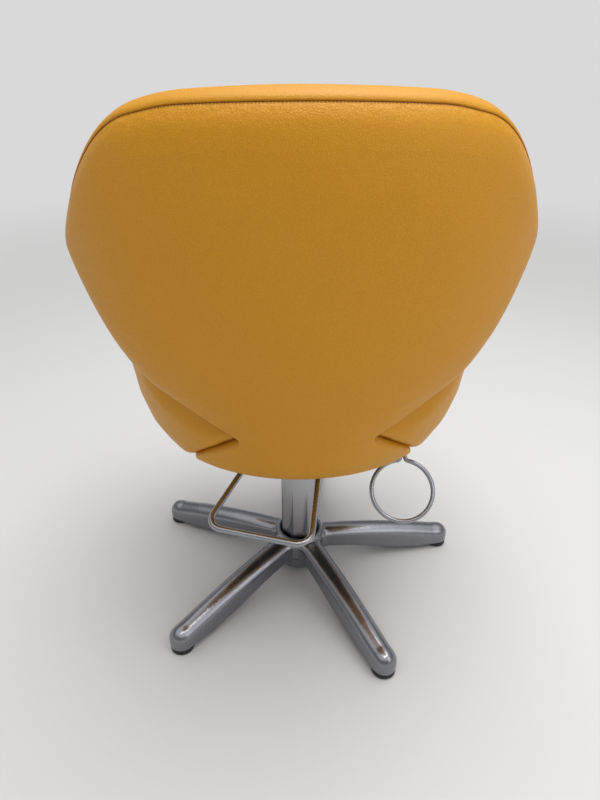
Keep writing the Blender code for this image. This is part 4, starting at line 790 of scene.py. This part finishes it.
def stuff(piece, swell, group=None):
    """Swell a pad's cover by pressure, hold its sewn points and cap how far the rest moves."""
    settings = bpy.context.scene.chair_upholstery
    scene = bpy.context.scene
    before = np.empty(len(piece.data.vertices) * 3, np.float32)
    piece.data.vertices.foreach_get("co", before)
    cloth = piece.modifiers.new("stuffing", "CLOTH")
    cloth.settings.use_pressure = True
    cloth.settings.uniform_pressure_force = settings.pressure
    cloth.settings.effector_weights.gravity = 0.0
    cloth.settings.tension_stiffness = COVER_STIFFNESS
    cloth.settings.compression_stiffness = COVER_STIFFNESS
    cloth.settings.bending_stiffness = COVER_BENDING
    cloth.collision_settings.use_collision = False
    if group:
        cloth.settings.vertex_group_mass = group
    cloth.point_cache.frame_start = 1
    cloth.point_cache.frame_end = STUFFING_FRAMES
    for step in range(1, STUFFING_FRAMES + 1):
        scene.frame_set(step)
    after = np.empty_like(before)
    evaluated = piece.evaluated_get(bpy.context.evaluated_depsgraph_get())
    evaluated.data.vertices.foreach_get("co", after)
    move = (after - before).reshape(-1, 3)
    length = np.linalg.norm(move, axis=1, keepdims=True)
    move *= swell / (swell + length)
    piece.modifiers.remove(cloth)
    scene.frame_set(1)
    piece.data.vertices.foreach_set("co", (before.reshape(-1, 3) + move).ravel())
    piece.data.update()


def node_copy(node, name):
    """Merged copy of a node's solid, with its flat faces whole."""
    bm = bmesh.new()
    bm.from_mesh(frame["nodes"][node].data)
    bmesh.ops.remove_doubles(bm, verts=bm.verts, dist=0.00001)
    bmesh.ops.dissolve_limit(bm, angle_limit=radians(0.5), verts=bm.verts, edges=bm.edges)
    return from_bmesh(name, bm)


def remeshed(node, name, voxel, passes):
    """Even mesh over a node's solid, with its facets and edges eased."""
    piece = node_copy(node, name)
    change = piece.modifiers.new("even", "REMESH")
    change.mode = "VOXEL"
    change.voxel_size = voxel
    soften = piece.modifiers.new("soften", "SMOOTH")
    soften.factor = 0.5
    soften.iterations = passes
    settle(piece)
    piece.data.shade_smooth()
    return piece


# Node trees for stitches, rods and repeated parts

def path_object(name, points, closed=False, linked=True):
    """Points, as a rule with edges from each to the next, for a node tree to follow."""
    mesh = bpy.data.meshes.new(name)
    edges = [(index, index + 1) for index in range(len(points) - 1)] if linked else []
    if closed:
        edges.append((len(points) - 1, 0))
    mesh.from_pydata([tuple(point) for point in points], edges, [])
    return new_object(name, mesh)


def new_tree(name, inputs):
    """Geometry node tree with named inputs."""
    tree = bpy.data.node_groups.new(name, "GeometryNodeTree")
    tree.interface.new_socket("Path", in_out="INPUT", socket_type="NodeSocketGeometry")
    for label, kind in inputs:
        tree.interface.new_socket(label, in_out="INPUT", socket_type=kind)
    tree.interface.new_socket("Piece", in_out="OUTPUT", socket_type="NodeSocketGeometry")
    return tree, tree.nodes.new("NodeGroupInput").outputs


def end_tree(tree, geometry, surface):
    """End a node tree in plain mesh with its material."""
    real = add_node(tree, "GeometryNodeRealizeInstances", {"Geometry": geometry.outputs[0]})
    dressed = add_node(tree, "GeometryNodeSetMaterial", {"Geometry": real.outputs[0], "Material": surface})
    add_node(tree, "NodeGroupOutput", {"Piece": dressed.outputs[0]})
    return tree


def stitch_tree():
    """Row of short stitches along a path."""
    tree = bpy.data.node_groups.get("stitch_row")
    if tree:
        return tree
    tree, given = new_tree("stitch_row", (
        ("Pitch", "NodeSocketFloat"), ("Length", "NodeSocketFloat"), ("Radius", "NodeSocketFloat"),
        ("Thread", "NodeSocketMaterial")))
    line = add_node(tree, "GeometryNodeMeshToCurve", {"Mesh": given["Path"]})
    row = add_node(tree, "GeometryNodeResampleCurve", {
        "Curve": line.outputs[0], "Length": given["Pitch"]}, mode="LENGTH")
    ball = add_node(tree, "GeometryNodeMeshUVSphere", {"Segments": 6, "Rings": 5, "Radius": 1.0})
    half = add_node(tree, "ShaderNodeMath", {0: given["Length"], 1: 0.5}, operation="MULTIPLY")
    size = add_node(tree, "ShaderNodeCombineXYZ", {
        0: given["Radius"], 1: given["Radius"], 2: half.outputs[0]})
    stitch = add_node(tree, "GeometryNodeTransform", {
        "Geometry": ball.outputs["Mesh"], "Scale": size.outputs[0]})
    smooth = add_node(tree, "GeometryNodeSetShadeSmooth", {"Geometry": stitch.outputs[0]})
    along = add_node(tree, "GeometryNodeInputTangent")
    turn = add_node(tree, "FunctionNodeAlignRotationToVector", {"Vector": along.outputs[0]}, axis="Z")
    copies = add_node(tree, "GeometryNodeInstanceOnPoints", {
        "Points": row.outputs[0], "Instance": smooth.outputs[0], "Rotation": turn.outputs[0]})
    return end_tree(tree, copies, given["Thread"])


def rod_tree():
    """Round rod along a path, with flat ends."""
    tree = bpy.data.node_groups.get("bent_rod")
    if tree:
        return tree
    tree, given = new_tree("bent_rod", (
        ("Radius", "NodeSocketFloat"), ("Sides", "NodeSocketInt"), ("Metal", "NodeSocketMaterial")))
    line = add_node(tree, "GeometryNodeMeshToCurve", {"Mesh": given["Path"]})
    ring = add_node(tree, "GeometryNodeCurvePrimitiveCircle", {
        "Radius": given["Radius"], "Resolution": given["Sides"]})
    tube = add_node(tree, "GeometryNodeCurveToMesh", {
        "Curve": line.outputs[0], "Profile Curve": ring.outputs[0], "Fill Caps": True})
    smooth = add_node(tree, "GeometryNodeSetShadeSmooth", {"Geometry": tube.outputs[0]})
    return end_tree(tree, smooth, given["Metal"])


def repeat_tree():
    """Copies of one pattern part at given points."""
    tree = bpy.data.node_groups.get("repeated_part")
    if tree:
        return tree
    tree, given = new_tree("repeated_part", (
        ("Pattern", "NodeSocketObject"), ("Finish", "NodeSocketMaterial")))
    part = add_node(tree, "GeometryNodeObjectInfo", {"Object": given["Pattern"]})
    copies = add_node(tree, "GeometryNodeInstanceOnPoints", {
        "Points": given["Path"], "Instance": part.outputs["Geometry"]})
    return end_tree(tree, copies, given["Finish"])


def repeat_part(name, nodes, slot, surface):
    """Like nodes made as copies of the first one's eased shape."""
    pattern = machined(nodes[0], bpy.context.scene.chair_metal.edge)
    spots = [sum(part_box(node), Vector()) / 2 for node in nodes]
    pattern.data.transform(Matrix.Translation(-spots[0]))
    piece = path_object(name, spots, linked=False)
    grow(piece, repeat_tree(), Pattern=pattern, Finish=surface)
    bpy.data.objects.remove(pattern, do_unlink=True)
    stand_for(piece, slot, surface, *nodes)


def grow(piece, tree, **values):
    """Run a node tree on a path with its inputs set by identifier, and keep the result as plain mesh."""
    change = piece.modifiers.new("grow", "NODES")
    change.node_group = tree
    items = tree.interface.items_tree
    sockets = {item.name: item.identifier for item in items if item.in_out == "INPUT"}
    for label, value in values.items():
        change[sockets[label]] = value
    settle(piece)


def stitch(name, points, body, closed=False):
    """Row of stitches along points, riding on a body."""
    settings = bpy.context.scene.chair_upholstery
    row = path_object(name, points, closed)
    grow(row, stitch_tree(), Pitch=settings.pitch, Length=settings.stitch,
         Radius=settings.thread_radius, Thread=thread_material())
    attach(row, body)


def finder_of(points):
    """Finder of the nearest of some points."""
    finder = KDTree(len(points))
    for index, point in enumerate(points):
        finder.insert(point, index)
    finder.balance()
    return finder


def skin_of(piece):
    """Search tree over a piece's plain mesh."""
    corners = [vertex.co for vertex in piece.data.vertices]
    return BVHTree.FromPolygons(corners, [face.vertices for face in piece.data.polygons])


def reshape(piece, rule):
    """Move each point of a plain mesh by a rule of its place and normal."""
    spots = [vertex.co.copy() for vertex in piece.data.vertices]
    facing = [vertex.normal.copy() for vertex in piece.data.vertices]
    moved = [rule(spot, normal) for spot, normal in zip(spots, facing)]
    piece.data.vertices.foreach_set("co", [value for spot in moved for value in spot])
    piece.data.update()


def sew(piece, name, guide, closed=False):
    """Draw a cover in along a line laid on it, and run a row of stitches down the groove."""
    skin = skin_of(piece)
    line = finder_of([skin.find_nearest(point)[0] for point in guide])

    def draw_in(spot, normal):
        part = max(0.0, 1.0 - line.find(spot)[2] / GROOVE_WIDTH)
        return spot - normal * GROOVE_DEPTH * part * part

    reshape(piece, draw_in)
    skin = skin_of(piece)
    lift = bpy.context.scene.chair_upholstery.thread_radius * THREAD_LIFT
    points = []
    for point in guide:
        spot, normal = skin.find_nearest(point)[:2]
        points.append(spot + normal * lift)
    stitch(name, points, "seat", closed)


# Operators

class CHAIR_OT_rear_panel(bpy.types.Operator):
    """Make the smooth rear panel of the back with the tail that runs under the seat."""

    bl_idname = "chair.rear_panel"
    bl_label = "Rear panel"

    def execute(self, context):
        # Layers as (inset, depth, how firmly sewing holds them)
        keys = [(face_inset(REAR_FACE_INSET), steady(0.0), 0.0),
                (face_inset(REAR_CREST_INSET), lambda run: rear_pad_depth(run) * CREST_DEPTH_SHARE, 0.2),
                (seam_inset(1.0, 0.0), seam_depth, 1.0),
                (seam_inset(1.0, SEAM_ROLL / 2), lambda run: rear_pad_depth(run) * HEM_DEPTH_SHARE, 1.0),
                (seam_inset(1.0, REAR_HEM), rear_pad_depth, 1.0)]
        outline = closed_outline(tail_side() + wing_side())
        piece = layered_pad("rear_panel", outline, between(keys, LAYER_STEPS), REAR_GATHERS)
        stuff(piece, context.scene.chair_upholstery.swell * REAR_SWELL_SHARE, "held")
        subdivide(piece)
        stand_for(piece, "vinyl", vinyl_material(), "back_rear_pad")
        return {"FINISHED"}


class CHAIR_OT_front_cushion(bpy.types.Operator):
    """Make the front cushion of the back with the border that wraps over the edge to the rear seam."""

    bl_idname = "chair.front_cushion"
    bl_label = "Front cushion"

    def execute(self, context):
        rim = steady(FRAME_INSET - SEAM_GAP)
        lining = steady(LINING_DEPTH)
        # Layers as (inset, depth, how firmly sewing holds them): pocket for the frame, hem, border, face
        flat = [(rim, steady(POCKET_DEPTH), 1.0), (rim, lining, 1.0),
                (seam_inset(1.0, REAR_HEM), lining, 1.0)]
        keys = [(seam_inset(1.0, -SEAM_GAP), steady(SEAM_DEPTH + SEAM_GAP + SEAM_ROLL), 1.0),
                (seam_inset(0.85, 0.0), steady(SEAM_DEPTH + SEAM_GAP), 0.9),
                (seam_inset(0.55, 0.0), steady(SEAM_DEPTH + BORDER_LIP), 0.6),
                (seam_inset(0.18, 0.0), lambda run: mix(SEAM_DEPTH, front_depth(run), 0.22), 0.5)]
        keys += [(*self.border(radians(turn)), 0.0) for turn in BORDER_TURNS]
        # Its foot goes lower than the shield's waist, to close the gap behind the seat
        foot = (FRONT_FOOT_HALF_WIDTH, run_at_height(FRONT_FOOT_HEIGHT))
        outline = closed_outline([foot] + wing_side())
        piece = layered_pad("front_cushion", outline, flat + between(keys, LAYER_STEPS))
        stuff(piece, context.scene.chair_upholstery.swell, "held")
        subdivide(piece)
        settle(piece)
        inset, depth = self.border(BORDER_SEAM)
        guide = [shell_point(x, run, depth(run)) for x, run in inset_outline(outline, inset)]
        sew(piece, "border_seam", smooth_curve(guide[ACROSS:], 3))
        stand_for(piece, "vinyl", vinyl_material(), "back_front_pad")
        return {"FINISHED"}

    def border(self, turn):
        """Inset and depth at a turn round the border, from its side to the front face."""
        share = mix(0.5, 1.0, sin(turn))
        return border_inset(1.0 - cos(turn)), lambda run: front_depth(run) * share


class CHAIR_OT_arms(bpy.types.Operator):
    """Make the two padded tub sides that tuck under the back's wings."""

    bl_idname = "chair.arms"
    bl_label = "Tub sides"

    def execute(self, context):
        for side, sign in (("left", 1.0), ("right", -1.0)):
            piece = remeshed(f"arm_{side}", f"tub_side_{side}", ARM_MESH, ARM_PASSES)
            stuff(piece, ARM_SWELL)
            press_in(piece, sign)
            subdivide(piece)
            settle(piece)
            sew(piece, f"arm_seam_{side}", arm_ridge(piece, sign))
            stand_for(piece, "vinyl", vinyl_material(), f"arm_{side}")
        return {"FINISHED"}


def press_in(piece, sign):
    """Press a tub side in under the wing, which then shades it, and fill it out beside the tail."""
    edge = smooth_curve(wing_side(), EDGE_STEPS)
    wing = edge_finder([spot for spot in edge if spot[1] < PROFILE_RUN[-1] * RECESS_RUN_SHARE], sign)
    tail = edge_finder(smooth_curve(tail_side(), EDGE_STEPS), sign)

    def press(spot, normal):
        out = Vector((spot.x, spot.y, 0.0)).normalized()
        near = 1.0 - smoothstep(0.0, RECESS_REACH, wing.find(spot)[2])
        beside = tail.find(spot)[2]
        clear = smoothstep(0.0, RECESS_REACH, beside)
        full = 1.0 - smoothstep(0.0, FLUSH_REACH, beside)
        move = FLUSH_FULLNESS * full - RECESS_DEPTH * near * clear
        return spot + out * move * max(0.0, normal.dot(out))

    reshape(piece, press)


def edge_finder(spots, sign):
    """Finder of the nearest point on one side's edge of the shield."""
    return finder_of([shell_point(sign * x, run, SEAM_DEPTH) for x, run in spots])


def arm_ridge(piece, sign):
    """Line along the outer shoulder of a tub side's rolled top, from its front end to the wing."""
    skin = skin_of(piece)
    line = []
    for step in range(RIDGE_STEPS + 1):
        turn = radians(mix(*RIDGE_TURNS, step / RIDGE_STEPS))
        way = Vector((sign * cos(turn), sin(turn), 0.0))
        inner = skin.ray_cast(RIDGE_EYE, way)[0]
        if inner is None:
            continue
        outer = skin.ray_cast(inner + way * SURFACE_STEP, way)[0]
        above = mix(inner, outer, RIDGE_SHARE) + Vector((0, 0, 1))
        line.append(skin.ray_cast(above, Vector((0, 0, -1)))[0])
    return line


class CHAIR_OT_seat(bpy.types.Operator):
    """Make the seat cushion and the covered rail in front of it."""

    bl_idname = "chair.seat"
    bl_label = "Seat cushion"

    def execute(self, context):
        cushion = remeshed("seat_cushion", "seat_pad", CUSHION_MESH, CUSHION_PASSES)
        stuff(cushion, CUSHION_SWELL)
        subdivide(cushion)
        settle(cushion)
        skin = skin_of(cushion)
        turns = [2 * pi * step / SEAM_STEPS for step in range(SEAM_STEPS)]
        rim = [skin.ray_cast(CUSHION_EYE, bearing_vector(turn))[0] for turn in turns]
        sew(cushion, "cushion_seam", rim, closed=True)
        stand_for(cushion, "vinyl", vinyl_material(), "seat_cushion")
        rail = remeshed("front_rail", "rail_cover", RAIL_MESH, RAIL_PASSES)
        low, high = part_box("front_rail")

        def fill_out(spot, normal):
            end = abs(spot.x) / high.x
            lift = smoothstep(mix(low.z, high.z, RAIL_FIXED_SHARE), high.z, spot.z) * end * end
            return Vector((spot.x * RAIL_WIDENING, spot.y + RAIL_TUCK * lift, spot.z + RAIL_RISE * lift))

        reshape(rail, fill_out)
        subdivide(rail)
        stand_for(rail, "vinyl", vinyl_material(), "front_rail")
        return {"FINISHED"}


class CHAIR_OT_seams(bpy.types.Operator):
    """Sew the seams round the rear panel and down both sides of its tail."""

    bl_idname = "chair.seams"
    bl_label = "Seams"

    def execute(self, context):
        radius = context.scene.chair_upholstery.thread_radius
        loop = closed_outline(wing_side())
        line = inset_outline(loop, seam_inset(1.0, -SEAM_GAP / 2))[ACROSS:]
        depth = SEAM_DEPTH - radius * THREAD_LIFT
        stitch("rear_seam", [shell_point(x, run, depth) for x, run in line], "seat")
        tail = [tuple(point) for point in smooth_curve(tail_side(), EDGE_STEPS)]
        for side, sign in (("left", 1.0), ("right", -1.0)):
            spots = [(sign * (x + SEAM_GAP), run) for x, run in tail if run > TAIL_THIN_RUN]
            points = [shell_point(x, run, seam_depth(run) - radius) for x, run in spots]
            stitch(f"tail_seam_{side}", points, "seat")
        return {"FINISHED"}


class CHAIR_OT_base(bpy.types.Operator):
    """Finish the cast star, its glides, the column and the bolt under the hub."""

    bl_idname = "chair.base"
    bl_label = "Base"

    def execute(self, context):
        settings = context.scene.chair_metal
        star = remeshed("base_star", "cast_star", settings.voxel, CAST_PASSES)
        stand_for(star, "polished_aluminium", metal_material("polished_cast_aluminium"), "base_star")
        tube = metal_material("polished_extruded_aluminium")
        for node, slot, surface in (("column_sleeve", "polished_aluminium", tube),
                                    ("column_cap", "black_plastic", plastic_material()),
                                    ("base_tie_bolt", "steel", metal_material("zinc_plated_steel"))):
            stand_for(machined(node, settings.edge), slot, surface, node)
        glides = [f"foot_glide_{leg}" for leg in range(1, 6)]
        repeat_part("floor_glides", glides, "black_plastic", plastic_material())
        return {"FINISHED"}


def machined(node, width):
    """Copy of a turned or milled node with eased edges."""
    piece = node_copy(node, f"{node}_finish")
    piece.data.set_sharp_from_angle(angle=EDGE_ANGLE)
    change = piece.modifiers.new("edges", "BEVEL")
    change.width = width
    change.segments = 2
    change.limit_method = "ANGLE"
    change.angle_limit = EDGE_ANGLE
    change.use_clamp_overlap = True
    settle(piece)
    piece.data.shade_smooth()
    piece.data.set_sharp_from_angle(angle=SMOOTH_ANGLE)
    return piece


class CHAIR_OT_pump(bpy.types.Operator):
    """Finish the pump head, the ram and the pedal's shaft parts."""

    bl_idname = "chair.pump"
    bl_label = "Pump"

    def execute(self, context):
        settings = context.scene.chair_metal
        for node in ("pump_head", "pedal_shaft", "pedal_collar_left", "pedal_collar_right", "pedal_cam",
                     "pump_plunger", "lock_pin", "lock_hub", "lift_ram", "swivel_socket"):
            stand_for(machined(node, settings.edge), "steel", metal_material("zinc_plated_steel"), node)
        return {"FINISHED"}


class CHAIR_OT_levers(bpy.types.Operator):
    """Bend the pedal's stirrup and the lock lever's ring from plated rod."""

    bl_idname = "chair.levers"
    bl_label = "Levers"

    def execute(self, context):
        chrome = metal_material("chrome_plated_rod")
        for name, node, path, radius in (("stirrup_rod", "pedal_stirrup", stirrup_path(), STIRRUP_RADIUS),
                                         ("ring_wire", "lock_ring", ring_path(), RING_WIRE)):
            rod = path_object(name, path)
            grow(rod, rod_tree(), Radius=radius, Sides=ROD_SIDES, Metal=chrome)
            rod.data.set_sharp_from_angle(angle=ROD_END_ANGLE)
            stand_for(rod, "chrome", chrome, node)
        return {"FINISHED"}


def stirrup_path():
    """Centre line of the stirrup, from one collar to the other."""
    out = bearing_vector(PEDAL_BEARING)
    side = bearing_vector(PEDAL_BEARING + pi / 2)
    half, reach, drop = STIRRUP_BAR
    foot = PEDAL_AXIS + side * STIRRUP_FOOT_HALF
    bar = PEDAL_AXIS + side * half + out * reach + Vector((0, 0, drop))
    rod = (bar - foot).normalized()
    lean = rod.dot(side)
    start = foot + rod * (COLLAR_REACH + STIRRUP_RADIUS * abs(lean)) / sqrt(1.0 - lean * lean)
    corners = [start, bar, bar - side * half * 2, start - side * (start - PEDAL_AXIS).dot(side) * 2]
    return rounded_path(corners, STIRRUP_BEND)


def ring_path():
    """Centre line of the lock lever's wire: shank, bend, ring and the end turned up beside the shank."""
    across = RING_FALL.cross(Vector((0, 0, 1))).normalized()
    centre = RING_NECK + RING_FALL * RING_RADIUS
    middle = RING_LEG_HALF + RING_NECK_FILLET
    rise = sqrt((RING_RADIUS + RING_NECK_FILLET) ** 2 - middle ** 2)
    turn_in = atan2(rise, middle)
    half = []
    for step in range(NECK_STEPS):
        turn = pi + turn_in * step / NECK_STEPS
        half.append((middle + RING_NECK_FILLET * cos(turn), rise + RING_NECK_FILLET * sin(turn)))
    for step in range(RING_STEPS + 1):
        turn = mix(turn_in, -pi / 2, step / RING_STEPS)
        half.append((RING_RADIUS * cos(turn), RING_RADIUS * sin(turn)))
    first = [centre + across * x - RING_FALL * y for x, y in half]
    second = [centre - across * x - RING_FALL * y for x, y in reversed(half[:-1])]
    bend = RING_NECK - RING_FALL * RING_SHANK + across * RING_LEG_HALF
    start = LOCK_PIVOT + (bend - LOCK_PIVOT).normalized() * LOCK_HUB_REACH
    end = bend - across * RING_LEG_HALF * 2 + RING_FALL * RING_BEND
    return rounded_path([start, bend, first[0]], RING_BEND)[:-1] + first + second + [end]


class CHAIR_OT_carcass(bpy.types.Operator):
    """Repeat the mounting plate's bolts and give the inner solids their materials."""

    bl_idname = "chair.carcass"
    bl_label = "Carcass"

    def execute(self, context):
        surfaces = {"steel": metal_material("zinc_plated_steel"), "plywood": plywood_material(),
                    "black_plastic": plastic_material()}
        bolts = [f"mount_bolt_{bolt}" for bolt in range(1, 5)]
        repeat_part("plate_bolts", bolts, "steel", surfaces["steel"])
        for part in frame["record"]["subparts"]:
            node = frame["nodes"][part["node"]]
            if not node.hide_render:
                node.data.materials.clear()
                node.data.materials.append(surfaces[part["material_slot"]])
        return {"FINISHED"}


class CHAIR_OT_stage(bpy.types.Operator):
    """Set the pale floor, the soft ceiling light and the camera."""

    bl_idname = "chair.stage"
    bl_label = "Stage"

    def execute(self, context):
        settings = context.scene.chair_stage
        self.floor(settings)
        self.world(context.scene, settings)
        self.panel("ceiling_panel", settings.lamp, *CEILING_PANEL)
        self.panel("side_panel", settings.fill, *SIDE_PANEL)
        lens = bpy.data.cameras.new("view")
        lens.lens = settings.lens
        camera = bpy.data.objects.new("view", lens)
        camera.rotation_mode = "QUATERNION"
        camera.location = settings.camera
        camera.rotation_quaternion = Vector(settings.aim).to_track_quat("-Z", "Y")
        context.scene.collection.objects.link(camera)
        context.scene.camera = camera
        context.scene.view_settings.view_transform = "Standard"
        return {"FINISHED"}

    def floor(self, settings):
        """Large round floor under the glides."""
        bm = bmesh.new()
        bmesh.ops.create_circle(bm, cap_ends=True, radius=FLOOR_RADIUS, segments=96)
        floor = from_bmesh("floor", bm)
        surface, tree, shader, place = new_material("matt_floor")
        clouds = add_node(tree, "ShaderNodeTexNoise", {"Vector": place, "Scale": 3.0, "Detail": 4.0})
        paint(tree, shader, settings.floor, 0.015, clouds.outputs["Fac"])
        shader.inputs["Roughness"].default_value = 0.6
        # Far from the chair the floor takes the backdrop's tone, so that no horizon shows
        away = add_node(tree, "ShaderNodeVectorMath", {0: place}, operation="LENGTH")
        fade = add_node(tree, "ShaderNodeMapRange", {
            "Value": away.outputs["Value"], "From Min": FLOOR_FADE[0], "From Max": FLOOR_FADE[1]},
            interpolation_type="SMOOTHSTEP")
        glow = add_node(tree, "ShaderNodeEmission", {"Color": (*settings.backdrop, 1.0), "Strength": 1.0})
        both = add_node(tree, "ShaderNodeMixShader", {
            0: fade.outputs[0], 1: shader.outputs[0], 2: glow.outputs[0]})
        tree.links.new(both.outputs[0], tree.nodes["Material Output"].inputs["Surface"])
        floor.data.materials.append(surface)

    def world(self, scene, settings):
        """Plain room: a pale backdrop round the horizon, a greyer upper wall and a soft bright ceiling."""
        world = bpy.data.worlds.new("studio")
        world.use_nodes = True
        tree = world.node_tree
        tree.nodes.clear()
        way = add_node(tree, "ShaderNodeTexCoord").outputs["Generated"]
        rise = add_node(tree, "ShaderNodeSeparateXYZ", {0: way}).outputs["Z"]
        level = settings.backdrop[0]
        wall = add_node(tree, "ShaderNodeMapRange", {
            "Value": rise, "From Min": WALL_RISE[0], "From Max": WALL_RISE[1],
            "To Min": 1.0, "To Max": settings.shade / level}, interpolation_type="SMOOTHSTEP")
        roof = add_node(tree, "ShaderNodeMapRange", {
            "Value": rise, "From Min": ROOF_RISE[0], "From Max": ROOF_RISE[1],
            "To Max": (settings.ceiling - settings.shade) / level}, interpolation_type="SMOOTHSTEP")
        both = add_node(tree, "ShaderNodeMath", {0: wall.outputs[0], 1: roof.outputs[0]}, operation="ADD")
        room = add_node(tree, "ShaderNodeBackground", {
            "Color": (*settings.backdrop, 1.0), "Strength": both.outputs[0]})
        add_node(tree, "ShaderNodeOutputWorld", {"Surface": room.outputs[0]})
        scene.world = world

    def panel(self, name, power, size, place, target):
        """Soft square light aimed at a point."""
        lamp = bpy.data.lights.new(name, "AREA")
        lamp.energy = power
        lamp.size = size
        holder = bpy.data.objects.new(name, lamp)
        holder.location = place
        holder.rotation_mode = "QUATERNION"
        holder.rotation_quaternion = (target - place).to_track_quat("-Z", "Y")
        bpy.context.scene.collection.objects.link(holder)


class CHAIR_PT_finish(bpy.types.Panel):
    """Steps and settings of the chair's finish."""

    bl_idname = "CHAIR_PT_finish"
    bl_label = "Salon chair"
    bl_space_type = "VIEW_3D"
    bl_region_type = "UI"
    bl_category = "Chair"

    def draw(self, context):
        for operator in STEPS:
            self.layout.operator(operator.bl_idname)
        for group in (context.scene.chair_upholstery, context.scene.chair_metal, context.scene.chair_stage):
            box = self.layout.box()
            for name in group.__annotations__:
                box.prop(group, name)


STEPS = (CHAIR_OT_stage, CHAIR_OT_rear_panel, CHAIR_OT_front_cushion, CHAIR_OT_arms, CHAIR_OT_seat,
         CHAIR_OT_seams, CHAIR_OT_base, CHAIR_OT_pump, CHAIR_OT_levers, CHAIR_OT_carcass)
GROUPS = {"chair_upholstery": ChairUpholstery, "chair_metal": ChairMetal, "chair_stage": ChairStage}


def register():
    """Add the settings, the operators and the panel."""
    for name, group in GROUPS.items():
        bpy.utils.register_class(group)
        setattr(bpy.types.Scene, name, bpy.props.PointerProperty(type=group))
    for item in (*STEPS, CHAIR_PT_finish):
        bpy.utils.register_class(item)


def unregister():
    """Take everything away again."""
    for item in (CHAIR_PT_finish, *reversed(STEPS)):
        bpy.utils.unregister_class(item)
    for name, group in GROUPS.items():
        delattr(bpy.types.Scene, name)
        bpy.utils.unregister_class(group)


def main():
    """Make every piece in order."""
    register()
    for step in STEPS:
        family, name = step.bl_idname.split(".")
        getattr(getattr(bpy.ops, family), name)()


if __name__ == "__main__":
    main()
